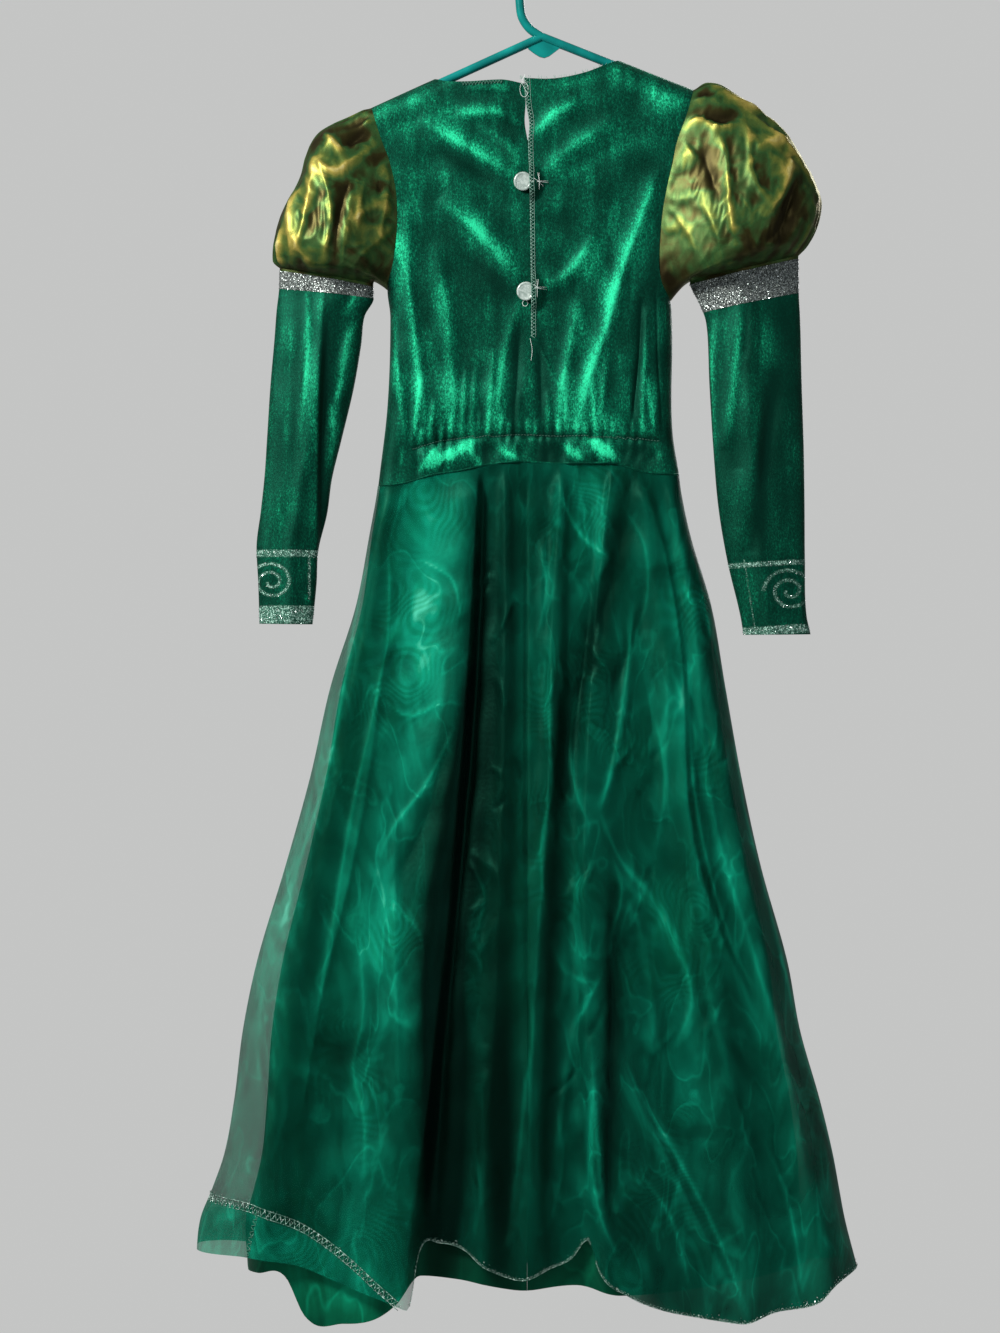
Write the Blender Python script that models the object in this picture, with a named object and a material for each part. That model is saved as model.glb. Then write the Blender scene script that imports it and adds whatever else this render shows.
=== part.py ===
"""A child's costume gown on a tubular plastic hanger.

The gown hangs as flat as it does on a wall. Its buttoned back faces -Y and its front +Y.
Each cut and sewn piece is a thin wall of cloth, made from a surface that is worked out
from the sizes below. The origin is the top of the inside of the hanger's hook.
All sizes here are in millimetres; the meshes are made in metres.
"""
import math
from collections import namedtuple

import bmesh
import bpy
import numpy as np

MM = 0.001

# Cloth thickness, and the clearances between sewn pieces
VELVET = 1.4
LAME = 1.2
RIBBON = 1.2
ORGANZA = 1.0
SATIN = 1.1
SEAM_GAP = 0.3
ARMHOLE_GAP = 1.1
COLLAR_HEIGHT = 2.4
PUFF_INNER_RISE = 7.0

# Hanger: hook, arms and lower bar are one round tube
TUBE_RADIUS = 3.7
TUBE_SIDES = 10
HOOK_RADIUS = 18.7
JOINT_Z = -72.2
ARM_SLOPE_LEFT = 0.456
ARM_SLOPE_RIGHT = 0.396
BAR_Z = -166.0
BAR_SLOPE = 0.0253
END_RADIUS = 10.0
HOOK_SWEEP, HOOK_STEPS = 1.08 * math.pi, 12
WEB_THICKNESS = 3.0

# Bodice
SHOULDER_RISE = 5.2
NECK_LEFT_X = -91.0
NECK_RIGHT_X = 65.5
NECK_CENTRE_Z = -109.0
TIP_LEFT_Z = -134.0
TIP_RIGHT_Z = -118.5
UNDERARM_LEFT_Z = -287.3
UNDERARM_RIGHT_Z = -297.0
ARMHOLE_SPREAD = 0.5
KEYHOLE_TOP, KEYHOLE_BOTTOM, KEYHOLE_WIDTH = -128.0, -166.0, 3.4
GATHER_LEFT_X, GATHER_RIGHT_X = -110.0, 102.0
GATHER_RISE, GATHER_REACH, GATHER_FADE = 1.6, 15.0, 8.0
BODICE_EDGE_BLEND = 10.0

# Buttons
BUTTON_RADIUS = 8.0
BUTTON_THICKNESS = 2.2
BUTTON_RIM = 0.7
BUTTON_DISH = 0.5
BUTTON_SIDES = 16
BUTTON_GAP = 0.45
BUTTON_LIFT = 5.8
LIFT_REACH, LIFT_SLOPE = 19.0, 9.0

# Skirt
HEM_LEVEL = -1100.0
SKIRT_TOP = -440.0
SKIRT_RAMP = 26.0
SKIRT_EDGE_BLEND = 14.0
LINING_FOLDS_START, LINING_FOLDS_SPAN = -500.0, 200.0

Point = namedtuple("Point", "x z")
Edge = namedtuple("Edge", "z left right")
Fold = namedtuple("Fold", "top middle hem rise_top rise_hem left right")
Crease = namedtuple("Crease", "x0 z0 x1 z1 rise width")
Level = namedtuple("Level", "z x_out x_in drop near far")
Ring = namedtuple("Ring", "w half_depth")
Swell = namedtuple("Swell", "rise above reach")

# Centre back line
CENTRE_BACK = [Point(-15.3, -109.0), Point(-12.0, -165.0), Point(-9.4, -330.0), Point(-12.8, -435.0)]

# Neck edges, from the left shoulder to the right one
BACK_NECK_LEFT = [
    Point(-91.0, -109.0), Point(-82.0, -111.4), Point(-66.0, -111.9),
    Point(-35.0, -110.3), Point(-15.3, -113.9),
]
BACK_NECK_RIGHT = [
    Point(-15.3, -109.0), Point(2.6, -109.6), Point(19.6, -108.0), Point(39.0, -103.3),
    Point(54.0, -97.5), Point(65.5, -93.0),
]
FRONT_NECK = [
    Point(-91.0, -108.5), Point(-76.0, -136.0), Point(-48.0, -153.0), Point(-13.0, -158.0),
    Point(22.0, -149.0), Point(50.0, -124.0), Point(65.5, -93.0),
]

# Armholes from the shoulder tip down, and then the side seams to the waist
OUTER_LEFT = [
    Point(-144.5, -134.0), Point(-137.0, -159.0), Point(-129.5, -179.0), Point(-124.3, -201.0),
    Point(-122.5, -228.0), Point(-126.0, -264.0), Point(-130.9, -287.3), Point(-128.4, -311.0),
    Point(-130.9, -387.0), Point(-137.7, -446.0), Point(-139.4, -460.0),
]
OUTER_RIGHT = [
    Point(128.4, -118.5), Point(122.4, -140.0), Point(114.5, -162.0), Point(109.5, -183.0),
    Point(105.0, -204.0), Point(101.0, -231.0), Point(99.0, -264.0), Point(101.5, -283.0),
    Point(108.5, -297.0), Point(109.8, -311.0), Point(110.6, -409.0), Point(116.2, -445.0),
    Point(118.5, -460.0),
]

# Elastic line and waist seam
ELASTIC = [
    Point(-139.0, -431.0), Point(-108.0, -422.0), Point(-69.0, -414.0), Point(-12.0, -411.5),
    Point(56.0, -413.0), Point(118.0, -417.0),
]
WAIST = [
    Point(-139.4, -454.0), Point(-115.0, -451.5), Point(-92.0, -444.5), Point(-69.0, -441.0),
    Point(-46.0, -436.0), Point(-18.0, -433.5), Point(13.0, -435.0), Point(55.0, -434.5),
    Point(88.0, -442.5), Point(116.5, -444.5),
]
FRONT_WAIST = [Point(-139.4, -454.0), Point(-12.0, -444.0), Point(116.5, -444.5)]

# The velvet bulges above and below the elastic, and is drawn in along it
ELASTIC_SWELLS = [Swell(3.0, 30.0, 22.0), Swell(1.2, -13.0, 8.0), Swell(-1.6, 0.0, 6.0)]

# Half depth of the bodice, as (height, depth)
BODICE_DEPTH = [(-460.0, 12.0), (-430.0, 12.0), (-380.0, 14.0), (-230.0, 15.0), (-100.0, 13.0)]

# Pulls from the buttons, and long soft folds that run down to the elastic
BACK_CREASES = [
    Crease(-20.0, -192.0, -75.0, -132.0, 2.6, 8.0),
    Crease(-22.0, -199.0, -105.0, -170.0, 2.4, 9.0),
    Crease(-6.0, -188.0, 32.0, -128.0, 2.4, 9.0),
    Crease(-4.0, -196.0, 78.0, -142.0, 2.6, 11.0),
    Crease(-20.0, -288.0, -98.0, -205.0, 2.6, 10.0),
    Crease(-4.0, -288.0, 72.0, -216.0, 2.6, 10.0),
    Crease(-84.0, -300.0, -80.0, -412.0, 2.0, 7.0),
    Crease(-50.0, -280.0, -52.0, -408.0, 2.4, 7.0),
    Crease(-26.0, -320.0, -28.0, -408.0, 1.8, 6.0),
    Crease(20.0, -300.0, 14.0, -408.0, 2.2, 7.0),
    Crease(48.0, -330.0, 44.0, -408.0, 1.8, 6.0),
    Crease(84.0, -300.0, 78.0, -408.0, 2.4, 7.0),
]
FRONT_CREASES = [
    Crease(-70.0, -180.0, -60.0, -300.0, 2.0, 10.0),
    Crease(45.0, -180.0, 38.0, -300.0, 2.0, 10.0),
    Crease(-40.0, -330.0, -44.0, -430.0, 2.0, 9.0),
    Crease(10.0, -320.0, 12.0, -430.0, 2.0, 9.0),
    Crease(60.0, -330.0, 66.0, -430.0, 2.0, 9.0),
]

# Outline of the skirt's overlay and of its lining
OVERLAY_EDGES = [
    Edge(-435.0, -137.5, 115.5), Edge(-455.0, -139.4, 117.5), Edge(-494.0, -146.2, 125.5),
    Edge(-556.0, -158.0, 143.7), Edge(-624.0, -179.4, 155.5), Edge(-700.0, -196.5, 169.0),
    Edge(-776.0, -217.6, 185.5), Edge(-859.0, -242.3, 208.5), Edge(-916.0, -254.0, 219.0),
    Edge(-976.0, -261.5, 236.0), Edge(-1022.0, -270.0, 247.0), Edge(-1052.0, -280.5, 252.5),
    Edge(-1076.0, -290.0, 257.0), Edge(-1115.0, -294.0, 267.0),
]
LINING_INSET = [
    Edge(-435.0, 1.45, 1.45), Edge(-500.0, 2.5, 2.5), Edge(-600.0, 8.0, 7.0), Edge(-860.0, 22.0, 16.0),
    Edge(-1000.0, 30.0, 28.0), Edge(-1160.0, 50.0, 48.0),
]
SKIRT_DEPTH = [(-1160.0, 36.0), (-1000.0, 33.0), (-700.0, 22.0), (-520.0, 14.0), (-435.0, 12.0)]
LINING_DROP = [(-1160.0, 9.0), (-900.0, 8.0), (-600.0, 5.0), (-500.0, 2.6), (-460.0, 1.5), (-435.0, 1.45)]

# Folds of the skirt: where the crest runs, how far it stands out, and its width to each side
BACK_FOLDS = [
    Fold(-124.0, -196.0, -232.0, 4.0, 11.0, 15.0, 22.0),
    Fold(-55.0, -76.0, -114.0, 8.0, 19.0, 60.0, 8.0),
    Fold(-31.0, -34.0, -50.0, 4.0, 9.0, 12.0, 14.0),
    Fold(17.0, 6.0, -11.0, 6.0, 11.0, 15.0, 14.0),
    Fold(60.0, 36.0, 54.0, 6.0, 16.0, 9.0, 46.0),
    Fold(84.0, 128.0, 176.0, 6.0, 12.0, 22.0, 20.0),
    Fold(106.0, 168.0, 238.0, 4.0, 9.0, 14.0, 14.0),
]
FRONT_FOLDS = [
    Fold(-104.0, -150.0, -205.0, 4.0, 12.0, 24.0, 24.0),
    Fold(-62.0, -92.0, -122.0, 5.0, 15.0, 26.0, 22.0),
    Fold(-20.0, -30.0, -36.0, 4.0, 12.0, 22.0, 24.0),
    Fold(26.0, 34.0, 44.0, 5.0, 15.0, 24.0, 22.0),
    Fold(66.0, 92.0, 122.0, 4.0, 13.0, 22.0, 26.0),
    Fold(96.0, 142.0, 196.0, 4.0, 11.0, 22.0, 22.0),
]
LINING_SHARE = 0.45

# Hems, from left to right
BACK_HEM = [
    Point(-284.8, -1056.0), Point(-243.0, -1063.5), Point(-200.0, -1080.5), Point(-163.0, -1106.0),
    Point(-132.0, -1133.0), Point(-113.0, -1146.0), Point(-104.0, -1100.0), Point(-86.0, -1093.0),
    Point(-65.0, -1099.0), Point(-48.0, -1113.0), Point(-18.0, -1123.0), Point(5.0, -1114.5),
    Point(24.0, -1106.0), Point(39.0, -1090.0), Point(47.0, -1115.0), Point(70.0, -1135.0),
    Point(97.0, -1147.5), Point(124.0, -1154.0), Point(165.0, -1159.0), Point(189.0, -1151.0),
    Point(230.0, -1141.0), Point(240.0, -1130.0), Point(266.0, -1115.0),
]
FRONT_HEM = [
    Point(-293.0, -1100.0), Point(-241.0, -1104.5), Point(-200.0, -1112.0), Point(-100.0, -1124.0),
    Point(0.0, -1118.0), Point(110.0, -1126.0), Point(266.0, -1115.0),
]
LINING_BACK_HEM = [
    Point(-243.0, -1119.0), Point(-218.0, -1122.0), Point(-206.0, -1154.0), Point(-172.0, -1161.0),
    Point(-145.0, -1157.0), Point(-125.0, -1144.0), Point(-104.0, -1121.0), Point(-72.0, -1124.0),
    Point(-18.0, -1133.0), Point(28.0, -1129.0), Point(66.0, -1137.0), Point(140.0, -1130.0),
    Point(218.0, -1112.0),
]
LINING_FRONT_HEM = [
    Point(-243.0, -1119.0), Point(-120.0, -1128.0), Point(0.0, -1122.0), Point(110.0, -1127.0),
    Point(218.0, -1112.0),
]

# Outer outline of each puff, from the shoulder tip to the band
PUFF_LEFT = [
    Point(-144.5, -133.0), Point(-163.2, -141.6), Point(-177.7, -147.6), Point(-189.6, -155.0),
    Point(-196.0, -164.0), Point(-205.7, -193.0), Point(-221.5, -223.6), Point(-227.3, -247.4),
    Point(-227.8, -263.0), Point(-223.0, -271.2),
]
PUFF_RIGHT = [
    Point(128.4, -118.0), Point(141.0, -113.0), Point(150.0, -114.2), Point(162.0, -121.0),
    Point(191.3, -141.0), Point(207.0, -154.5), Point(221.0, -176.8), Point(231.5, -196.0),
    Point(237.5, -214.0), Point(233.0, -235.0), Point(217.6, -260.8),
]
PUFF_DEPTH = [
    Ring(0.0, 15.0), Ring(0.12, 24.0), Ring(0.3, 35.0), Ring(0.6, 43.0), Ring(0.84, 40.0),
    Ring(0.94, 28.0), Ring(1.0, 10.0),
]
PUFF_GATHER_RISE = 2.4
PUFF_GATHER_REACH = 0.16
PUFF_FOLDS, PUFF_FOLD_RISE, PUFF_FOLD_TWIST = 7, 2.2, 2.5
PUFF_TO_ARMHOLE, PUFF_TO_BAND = 5, 40
PUFF_FREE_START, PUFF_FREE_STOP = 0.06, 0.04
PUFF_INNER_SHARE = 0.1

# Arms from the puff down: outer edge, inner edge, how much lower the inner edge lies,
# and the depths of the near and far side
ARM_LEFT = [
    Level(-271.2, -222.6, -143.7, 13.6, 10.0, 10.0),
    Level(-286.6, -223.0, -143.5, 8.0, 10.0, 10.0),
    Level(-304.0, -225.0, -151.0, 5.0, 11.0, 10.0),
    Level(-330.0, -227.0, -154.0, 3.0, 11.5, 10.0),
    Level(-369.0, -230.4, -160.5, 2.0, 12.0, 10.0),
    Level(-413.0, -233.2, -171.0, 2.0, 11.5, 9.5),
    Level(-446.0, -235.4, -179.0, 2.0, 11.0, 9.0),
    Level(-475.0, -238.5, -183.0, 2.0, 10.0, 8.5),
    Level(-507.0, -242.2, -190.6, 2.0, 9.0, 8.0),
    Level(-535.0, -240.8, -192.0, 1.0, 9.0, 8.0),
    Level(-571.0, -239.7, -195.5, 0.5, 9.0, 8.0),
]
ARM_RIGHT = [
    Level(-260.8, 217.6, 126.0, 22.0, 10.0, 10.0),
    Level(-290.0, 217.8, 137.5, 16.5, 10.0, 10.0),
    Level(-311.0, 218.9, 140.5, 8.0, 11.0, 10.0),
    Level(-365.0, 220.2, 142.8, 3.0, 12.0, 10.0),
    Level(-422.0, 222.0, 146.2, 2.0, 12.0, 10.0),
    Level(-471.0, 222.7, 150.5, 2.0, 11.0, 9.0),
    Level(-516.0, 223.0, 158.1, 2.0, 10.0, 8.5),
    Level(-564.0, 224.4, 169.2, 1.0, 9.0, 8.0),
    Level(-580.0, 227.8, 171.7, 0.5, 9.0, 8.0),
]
CUFF_LEFT_Z = -506.5
CUFF_RIGHT_Z = -515.0
SLEEVE_RIDGE = 0.3
SLEEVE_RIDGE_AT = 0.58
SLEEVE_RIDGE_WIDTH = 0.12


def curve(pairs):
    """A smooth curve value(key) through (key, value) pairs, level at each turn."""
    pairs = sorted(pairs)
    keys = np.array([pair[0] for pair in pairs], float)
    values = np.array([pair[1] for pair in pairs], float)
    slopes = np.diff(values) / np.diff(keys)
    tangents = np.concatenate([slopes[:1], (slopes[:-1] + slopes[1:]) / 2, slopes[-1:]])
    turns = np.concatenate([[False], slopes[:-1] * slopes[1:] < 0, [False]])
    tangents[turns] = 0.0

    def at(key):
        key = np.clip(key, keys[0], keys[-1])
        low = np.clip(np.searchsorted(keys, key, side="right") - 1, 0, len(keys) - 2)
        span = keys[low + 1] - keys[low]
        t = (key - keys[low]) / span
        ends = values[low] * (1 + 2 * t) * (1 - t) ** 2 + values[low + 1] * t * t * (3 - 2 * t)
        return ends + span * t * (1 - t) * ((1 - t) * tangents[low] - t * tangents[low + 1])

    return at


def across(points):
    """A line's height by x."""
    return curve([(point.x, point.z) for point in points])


def along(points):
    """A line's x by height."""
    return curve([(point.z, point.x) for point in points])


def column(rows, key, value):
    """One named column of a table as a smooth curve of another."""
    return curve([(getattr(row, key), getattr(row, value)) for row in rows])


def mix(a, b, share):
    return a + (b - a) * share


def smooth_step(value):
    t = np.clip(value, 0.0, 1.0)
    return t * t * (3 - 2 * t)


def rounded(distance, radius):
    """A quarter circle: 0 at an edge, and 1 from one radius inward."""
    t = np.clip(distance / radius, 0.0, 1.0)
    return np.sqrt(np.maximum(0.0, 1 - (1 - t) ** 2))


centre_back = along(CENTRE_BACK)
outer_left = along(OUTER_LEFT)
outer_right = along(OUTER_RIGHT)
elastic = across(ELASTIC)
waist = across(WAIST)
front_waist = across(FRONT_WAIST)
bodice_half_depth = curve(BODICE_DEPTH)
overlay_left = column(OVERLAY_EDGES, "z", "left")
overlay_right = column(OVERLAY_EDGES, "z", "right")
inset_left = column(LINING_INSET, "z", "left")
inset_right = column(LINING_INSET, "z", "right")
skirt_half_depth = curve(SKIRT_DEPTH)
lining_drop = curve(LINING_DROP)
puff_half_depth = column(PUFF_DEPTH, "w", "half_depth")


def shoulder(x):
    """Height of the cloth over the hanger's arms."""
    slope = np.where(x < 0, ARM_SLOPE_LEFT, ARM_SLOPE_RIGHT)
    return JOINT_Z + SHOULDER_RISE - slope * np.abs(x)


def top_edge(neck):
    """Height of a panel's top edge: the neck edge between the shoulders, else the shoulder."""
    neck = across(neck)

    def at(x):
        return np.where((x > NECK_LEFT_X) & (x < NECK_RIGHT_X), neck(x), shoulder(x))

    return at


def creases(table, x, z):
    """How far the straight soft creases of a table push the cloth out."""
    total = 0.0
    for crease in table:
        run_x = crease.x1 - crease.x0
        run_z = crease.z1 - crease.z0
        length = math.hypot(run_x, run_z)
        share = ((x - crease.x0) * run_x + (z - crease.z0) * run_z) / length ** 2
        aside = ((x - crease.x0) * run_z - (z - crease.z0) * run_x) / length
        taper = np.sin(np.pi * np.clip(share, 0.0, 1.0)) ** 0.7
        total = total + crease.rise * taper * np.exp(-(aside / crease.width) ** 2)
    return total


def folds(table, x, z):
    """How far the skirt's folds push the cloth out; they open out towards the hem."""
    share = np.clip((SKIRT_TOP - z) / (SKIRT_TOP - HEM_LEVEL), 0.0, 1.0)
    total = 0.0
    for fold in table:
        bend = 2 * share * (1 - share) * (2 * fold.middle - (fold.top + fold.hem) / 2)
        crest = fold.top * (1 - share) ** 2 + bend + fold.hem * share ** 2
        width = np.where(x < crest, fold.left, fold.right) * mix(0.4, 1.0, share)
        rise = mix(fold.rise_top, fold.rise_hem, share)
        total = total + rise * np.exp(-((x - crest) / width) ** 2)
    return total * smooth_step((waist(x) - z) / SKIRT_RAMP)


def bodice_depth(x, z):
    """Half depth of the bodice without its creases: round at the shoulders and the sides."""
    depth = bodice_half_depth(z)
    side_left = outer_left(np.minimum(z, UNDERARM_LEFT_Z))
    side_left = side_left - ARMHOLE_SPREAD * np.maximum(0.0, z - UNDERARM_LEFT_Z)
    side_right = outer_right(np.minimum(z, UNDERARM_RIGHT_Z))
    side_right = side_right + ARMHOLE_SPREAD * np.maximum(0.0, z - UNDERARM_RIGHT_Z)
    below = (shoulder(x) - z) * math.cos(math.atan(ARM_SLOPE_LEFT))
    aside = np.minimum(x - side_left, side_right - x)
    return depth * rounded(below, depth) * rounded(aside, depth)


def elastic_shape(x, z, wave):
    """The gathers on the elastic, and the soft bulges of velvet above and below them."""
    rise = z - elastic(x)
    left, right = (x - GATHER_LEFT_X) / GATHER_FADE, (GATHER_RIGHT_X - x) / GATHER_FADE
    total = wave * GATHER_RISE * np.exp(-(rise / GATHER_REACH) ** 2)
    for swell in ELASTIC_SWELLS:
        total = total + swell.rise * np.exp(-((rise - swell.above) / swell.reach) ** 2)
    return smooth_step(left) * smooth_step(right) * total


def back_bodice_depth(x, z, wave=0.0):
    shape = bodice_depth(x, z)
    edge = smooth_step(shape / BODICE_EDGE_BLEND)
    return shape + edge * (creases(BACK_CREASES, x, z) + elastic_shape(x, z, wave))


def front_bodice_depth(x, z):
    shape = bodice_depth(x, z)
    return shape + smooth_step(shape / BODICE_EDGE_BLEND) * creases(FRONT_CREASES, x, z)


def overlay_depth(table, x, z):
    depth = skirt_half_depth(z)
    aside = np.minimum(x - overlay_left(z), overlay_right(z) - x)
    shape = depth * rounded(aside, depth)
    return shape + smooth_step(shape / SKIRT_EDGE_BLEND) * folds(table, x, z)


def lining_left(z):
    return overlay_left(z) + inset_left(z)


def lining_right(z):
    return overlay_right(z) - inset_right(z)


def lining_depth(table, x, z):
    depth = skirt_half_depth(z) - lining_drop(z)
    aside = np.minimum(x - lining_left(z), lining_right(z) - x)
    shape = depth * rounded(aside, depth)
    share = LINING_SHARE * smooth_step((LINING_FOLDS_START - z) / LINING_FOLDS_SPAN)
    return shape + smooth_step(shape / SKIRT_EDGE_BLEND) * share * folds(table, x, z)


def edge_columns(flat, turned, turn_share=0.1):
    """Shares across a panel, 0 to 1: even ones, then closer ones where it rounds the side."""
    even = np.linspace(0.0, 1 - turn_share, flat, endpoint=False)
    angles = np.linspace(math.pi / 2, 0.0, turned)
    return np.concatenate([even, 1 - turn_share * (1 - np.cos(angles))])


def both_edge_columns(flat, turned):
    half = edge_columns(flat, turned) / 2
    return np.concatenate([0.5 - half[::-1], 0.5 + half[1:]])


def panel(columns, rows, start, stop, top, bottom, depth, side):
    """Grid of points of a panel between two upright lines and two edges, on one side in Y."""
    share, drop = np.meshgrid(columns, rows)
    z = mix(top(share), bottom(share), drop)
    x = mix(start(z), stop(z), share)
    y = side * (SEAM_GAP / 2 + depth(x, z))
    return np.stack([x, y, z], axis=-1)


def line_at(line, start, stop, level, lift=0.0):
    """Height of an edge by its share across the panel."""

    def at(share):
        return line(mix(start(level), stop(level), share)) + lift

    return at


def grid_normals(grid, closed):
    """Unit normals at the points of a grid, averaged from the faces around each."""
    ring = np.concatenate([grid, grid[:, :1]], axis=1) if closed else grid
    a = ring[:-1, :-1]
    b = ring[:-1, 1:]
    c = ring[1:, 1:]
    d = ring[1:, :-1]
    face = np.cross(c - a, d - b)
    face /= np.linalg.norm(face, axis=-1, keepdims=True)
    total = np.zeros_like(ring)
    for rows in (slice(None, -1), slice(1, None)):
        for columns in (slice(None, -1), slice(1, None)):
            total[rows, columns] += face
    if closed:
        total[:, 0] += total[:, -1]
        total = total[:, :-1]
    return total / np.linalg.norm(total, axis=-1, keepdims=True)


def add_object(name, mesh, material):
    mesh.materials.append(material)
    item = bpy.data.objects.new(name, mesh)
    bpy.context.scene.collection.objects.link(item)
    return item


def wall(name, grid, thickness, material, closed=False, level_rows=(), square_columns=()):
    """A cloth wall: the grid moved half a thickness to each side, and closed at its rims.

    Rims on the seam plane between front and back stay square to it, those of the rows in
    level_rows stay square to the height, and those of square_columns stay square to X.
    """
    normals = grid_normals(grid, closed)
    normals[np.abs(grid[..., 1]) < SEAM_GAP, 1] = 0.0
    for column_index in square_columns:
        normals[:, column_index, 0] = 0.0
    for row in level_rows:
        normals[row, :, 2] = 0.0
    normals /= np.linalg.norm(normals, axis=-1, keepdims=True)
    rows, columns = grid.shape[:2]
    bm = bmesh.new()
    layers = []
    for side in (0.5, -0.5):
        points = (grid + normals * thickness * side) * MM
        layers.append([[bm.verts.new(point) for point in row] for row in points])
    steps = columns if closed else columns - 1
    for layer in layers:
        for i in range(rows - 1):
            for j in range(steps):
                k = (j + 1) % columns
                bm.faces.new((layer[i][j], layer[i][k], layer[i + 1][k], layer[i + 1][j]))
    outer, inner = layers
    for i in (0, rows - 1):
        for j in range(steps):
            k = (j + 1) % columns
            bm.faces.new((outer[i][j], outer[i][k], inner[i][k], inner[i][j]))
    if not closed:
        for j in (0, columns - 1):
            for i in range(rows - 1):
                bm.faces.new((outer[i][j], outer[i + 1][j], inner[i + 1][j], inner[i][j]))
    bmesh.ops.recalc_face_normals(bm, faces=bm.faces)
    mesh = bpy.data.meshes.new(name)
    bm.to_mesh(mesh)
    bm.free()
    mesh.shade_smooth()
    mesh.set_sharp_from_angle(angle=math.radians(50))
    return add_object(name, mesh, material)


def finish(name, colour, roughness, metallic=0.0):
    """A Principled material; the colour is linear."""
    material = bpy.data.materials.new(name)
    material.use_nodes = True
    shader = material.node_tree.nodes["Principled BSDF"]
    shader.inputs["Base Color"].default_value = (*colour, 1.0)
    shader.inputs["Roughness"].default_value = roughness
    shader.inputs["Metallic"].default_value = metallic
    return material


def keyhole(z):
    """Half width of the small gap in the back opening."""
    share = (KEYHOLE_TOP - z) / (KEYHOLE_TOP - KEYHOLE_BOTTOM)
    return KEYHOLE_WIDTH / 2 * np.sin(np.pi * np.clip(share, 0.0, 1.0)) ** 2


def back_edge(side):
    """The edge of a back panel at the centre back line, on its own side of it."""

    def at(z):
        return centre_back(z) + side * (SEAM_GAP / 2 + keyhole(z))

    return at


def skirt_back_edge(side):
    def at(z):
        return centre_back(z) + side * SEAM_GAP / 2

    return at


BUTTONS = {"button_upper": Point(-16.2, -197.0), "button_lower": Point(-13.6, -290.0)}


def button_seat(place):
    """How far out the cloth stands under a button, at most."""
    across_disc = np.linspace(-BUTTON_RADIUS, BUTTON_RADIUS, 9)
    x, z = np.meshgrid(place.x + across_disc, place.z + across_disc)
    return float(back_bodice_depth(x, z).max())


def placket_lift(x, z):
    """The right back panel's edge passes over the buttons."""
    total = 0.0
    for place in BUTTONS.values():
        distance = np.hypot(x - place.x, z - place.z)
        total = total + BUTTON_LIFT * smooth_step((LIFT_REACH - distance) / LIFT_SLOPE)
    return total


def make_bodice(velvet):
    gathered = edge_columns(23, 5)
    wave = np.cos(np.pi * np.arange(len(gathered)))
    shoulder_rows = [0, .005, .016, .045, .1, .16, .22]
    waist_rows = [.75, .85, .9, .935, .965, 1]
    left_rows = np.array(shoulder_rows + [.28, .35, .42, .48, .6] + waist_rows)
    beside_buttons = [.25, .27, .29, .33, .39, .45, .5, .54, .56, .58, .62]
    right_rows = np.array(shoulder_rows + beside_buttons + waist_rows)

    def right_depth(x, z):
        return back_bodice_depth(x, z, wave) + placket_lift(x, z)

    def left_depth(x, z):
        return back_bodice_depth(x, z, wave)

    tip_left = outer_left(TIP_LEFT_Z)
    tip_right = outer_right(TIP_RIGHT_Z)
    parts = {
        "back_bodice_left": (-1, BACK_NECK_LEFT, outer_left, tip_left, left_rows, left_depth),
        "back_bodice_right": (1, BACK_NECK_RIGHT, outer_right, tip_right, right_rows, right_depth),
    }
    for name, (side, neck, outer, tip, levels, depth) in parts.items():
        neck_line = top_edge(neck)
        centre = back_edge(side)

        def top(share, neck_line=neck_line, tip=tip):
            return neck_line(mix(float(centre_back(NECK_CENTRE_Z)), tip, share))

        bottom = line_at(waist, centre, outer, SKIRT_TOP, SEAM_GAP / 2)
        grid = panel(gathered, levels, centre, outer, top, bottom, depth, -1)
        wall(name, grid, VELVET, velvet, level_rows=(-1,), square_columns=(0,))

    neck_line = top_edge(FRONT_NECK)

    def front_top(share):
        return neck_line(mix(tip_left, tip_right, share))

    neck_left, neck_right = ((x - tip_left) / (tip_right - tip_left) for x in (NECK_LEFT_X, NECK_RIGHT_X))
    beside_neck = [neck_left + step for step in (0, .009, .024)]
    beside_neck += [neck_right - step for step in (0, .009, .024)]
    front_columns = np.unique(np.concatenate([both_edge_columns(8, 4), beside_neck]))
    front_rows = np.array([0, .005, .016, .045, .1, .17, .24, .31, .38, .44, .5, .55, .66, .85, 1])
    bottom = line_at(front_waist, outer_left, outer_right, SKIRT_TOP, SEAM_GAP / 2)
    grid = panel(front_columns, front_rows, outer_left, outer_right, front_top, bottom,
                 front_bodice_depth, 1)
    wall("front_bodice", grid, VELVET, velvet, level_rows=(-1,))


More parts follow.
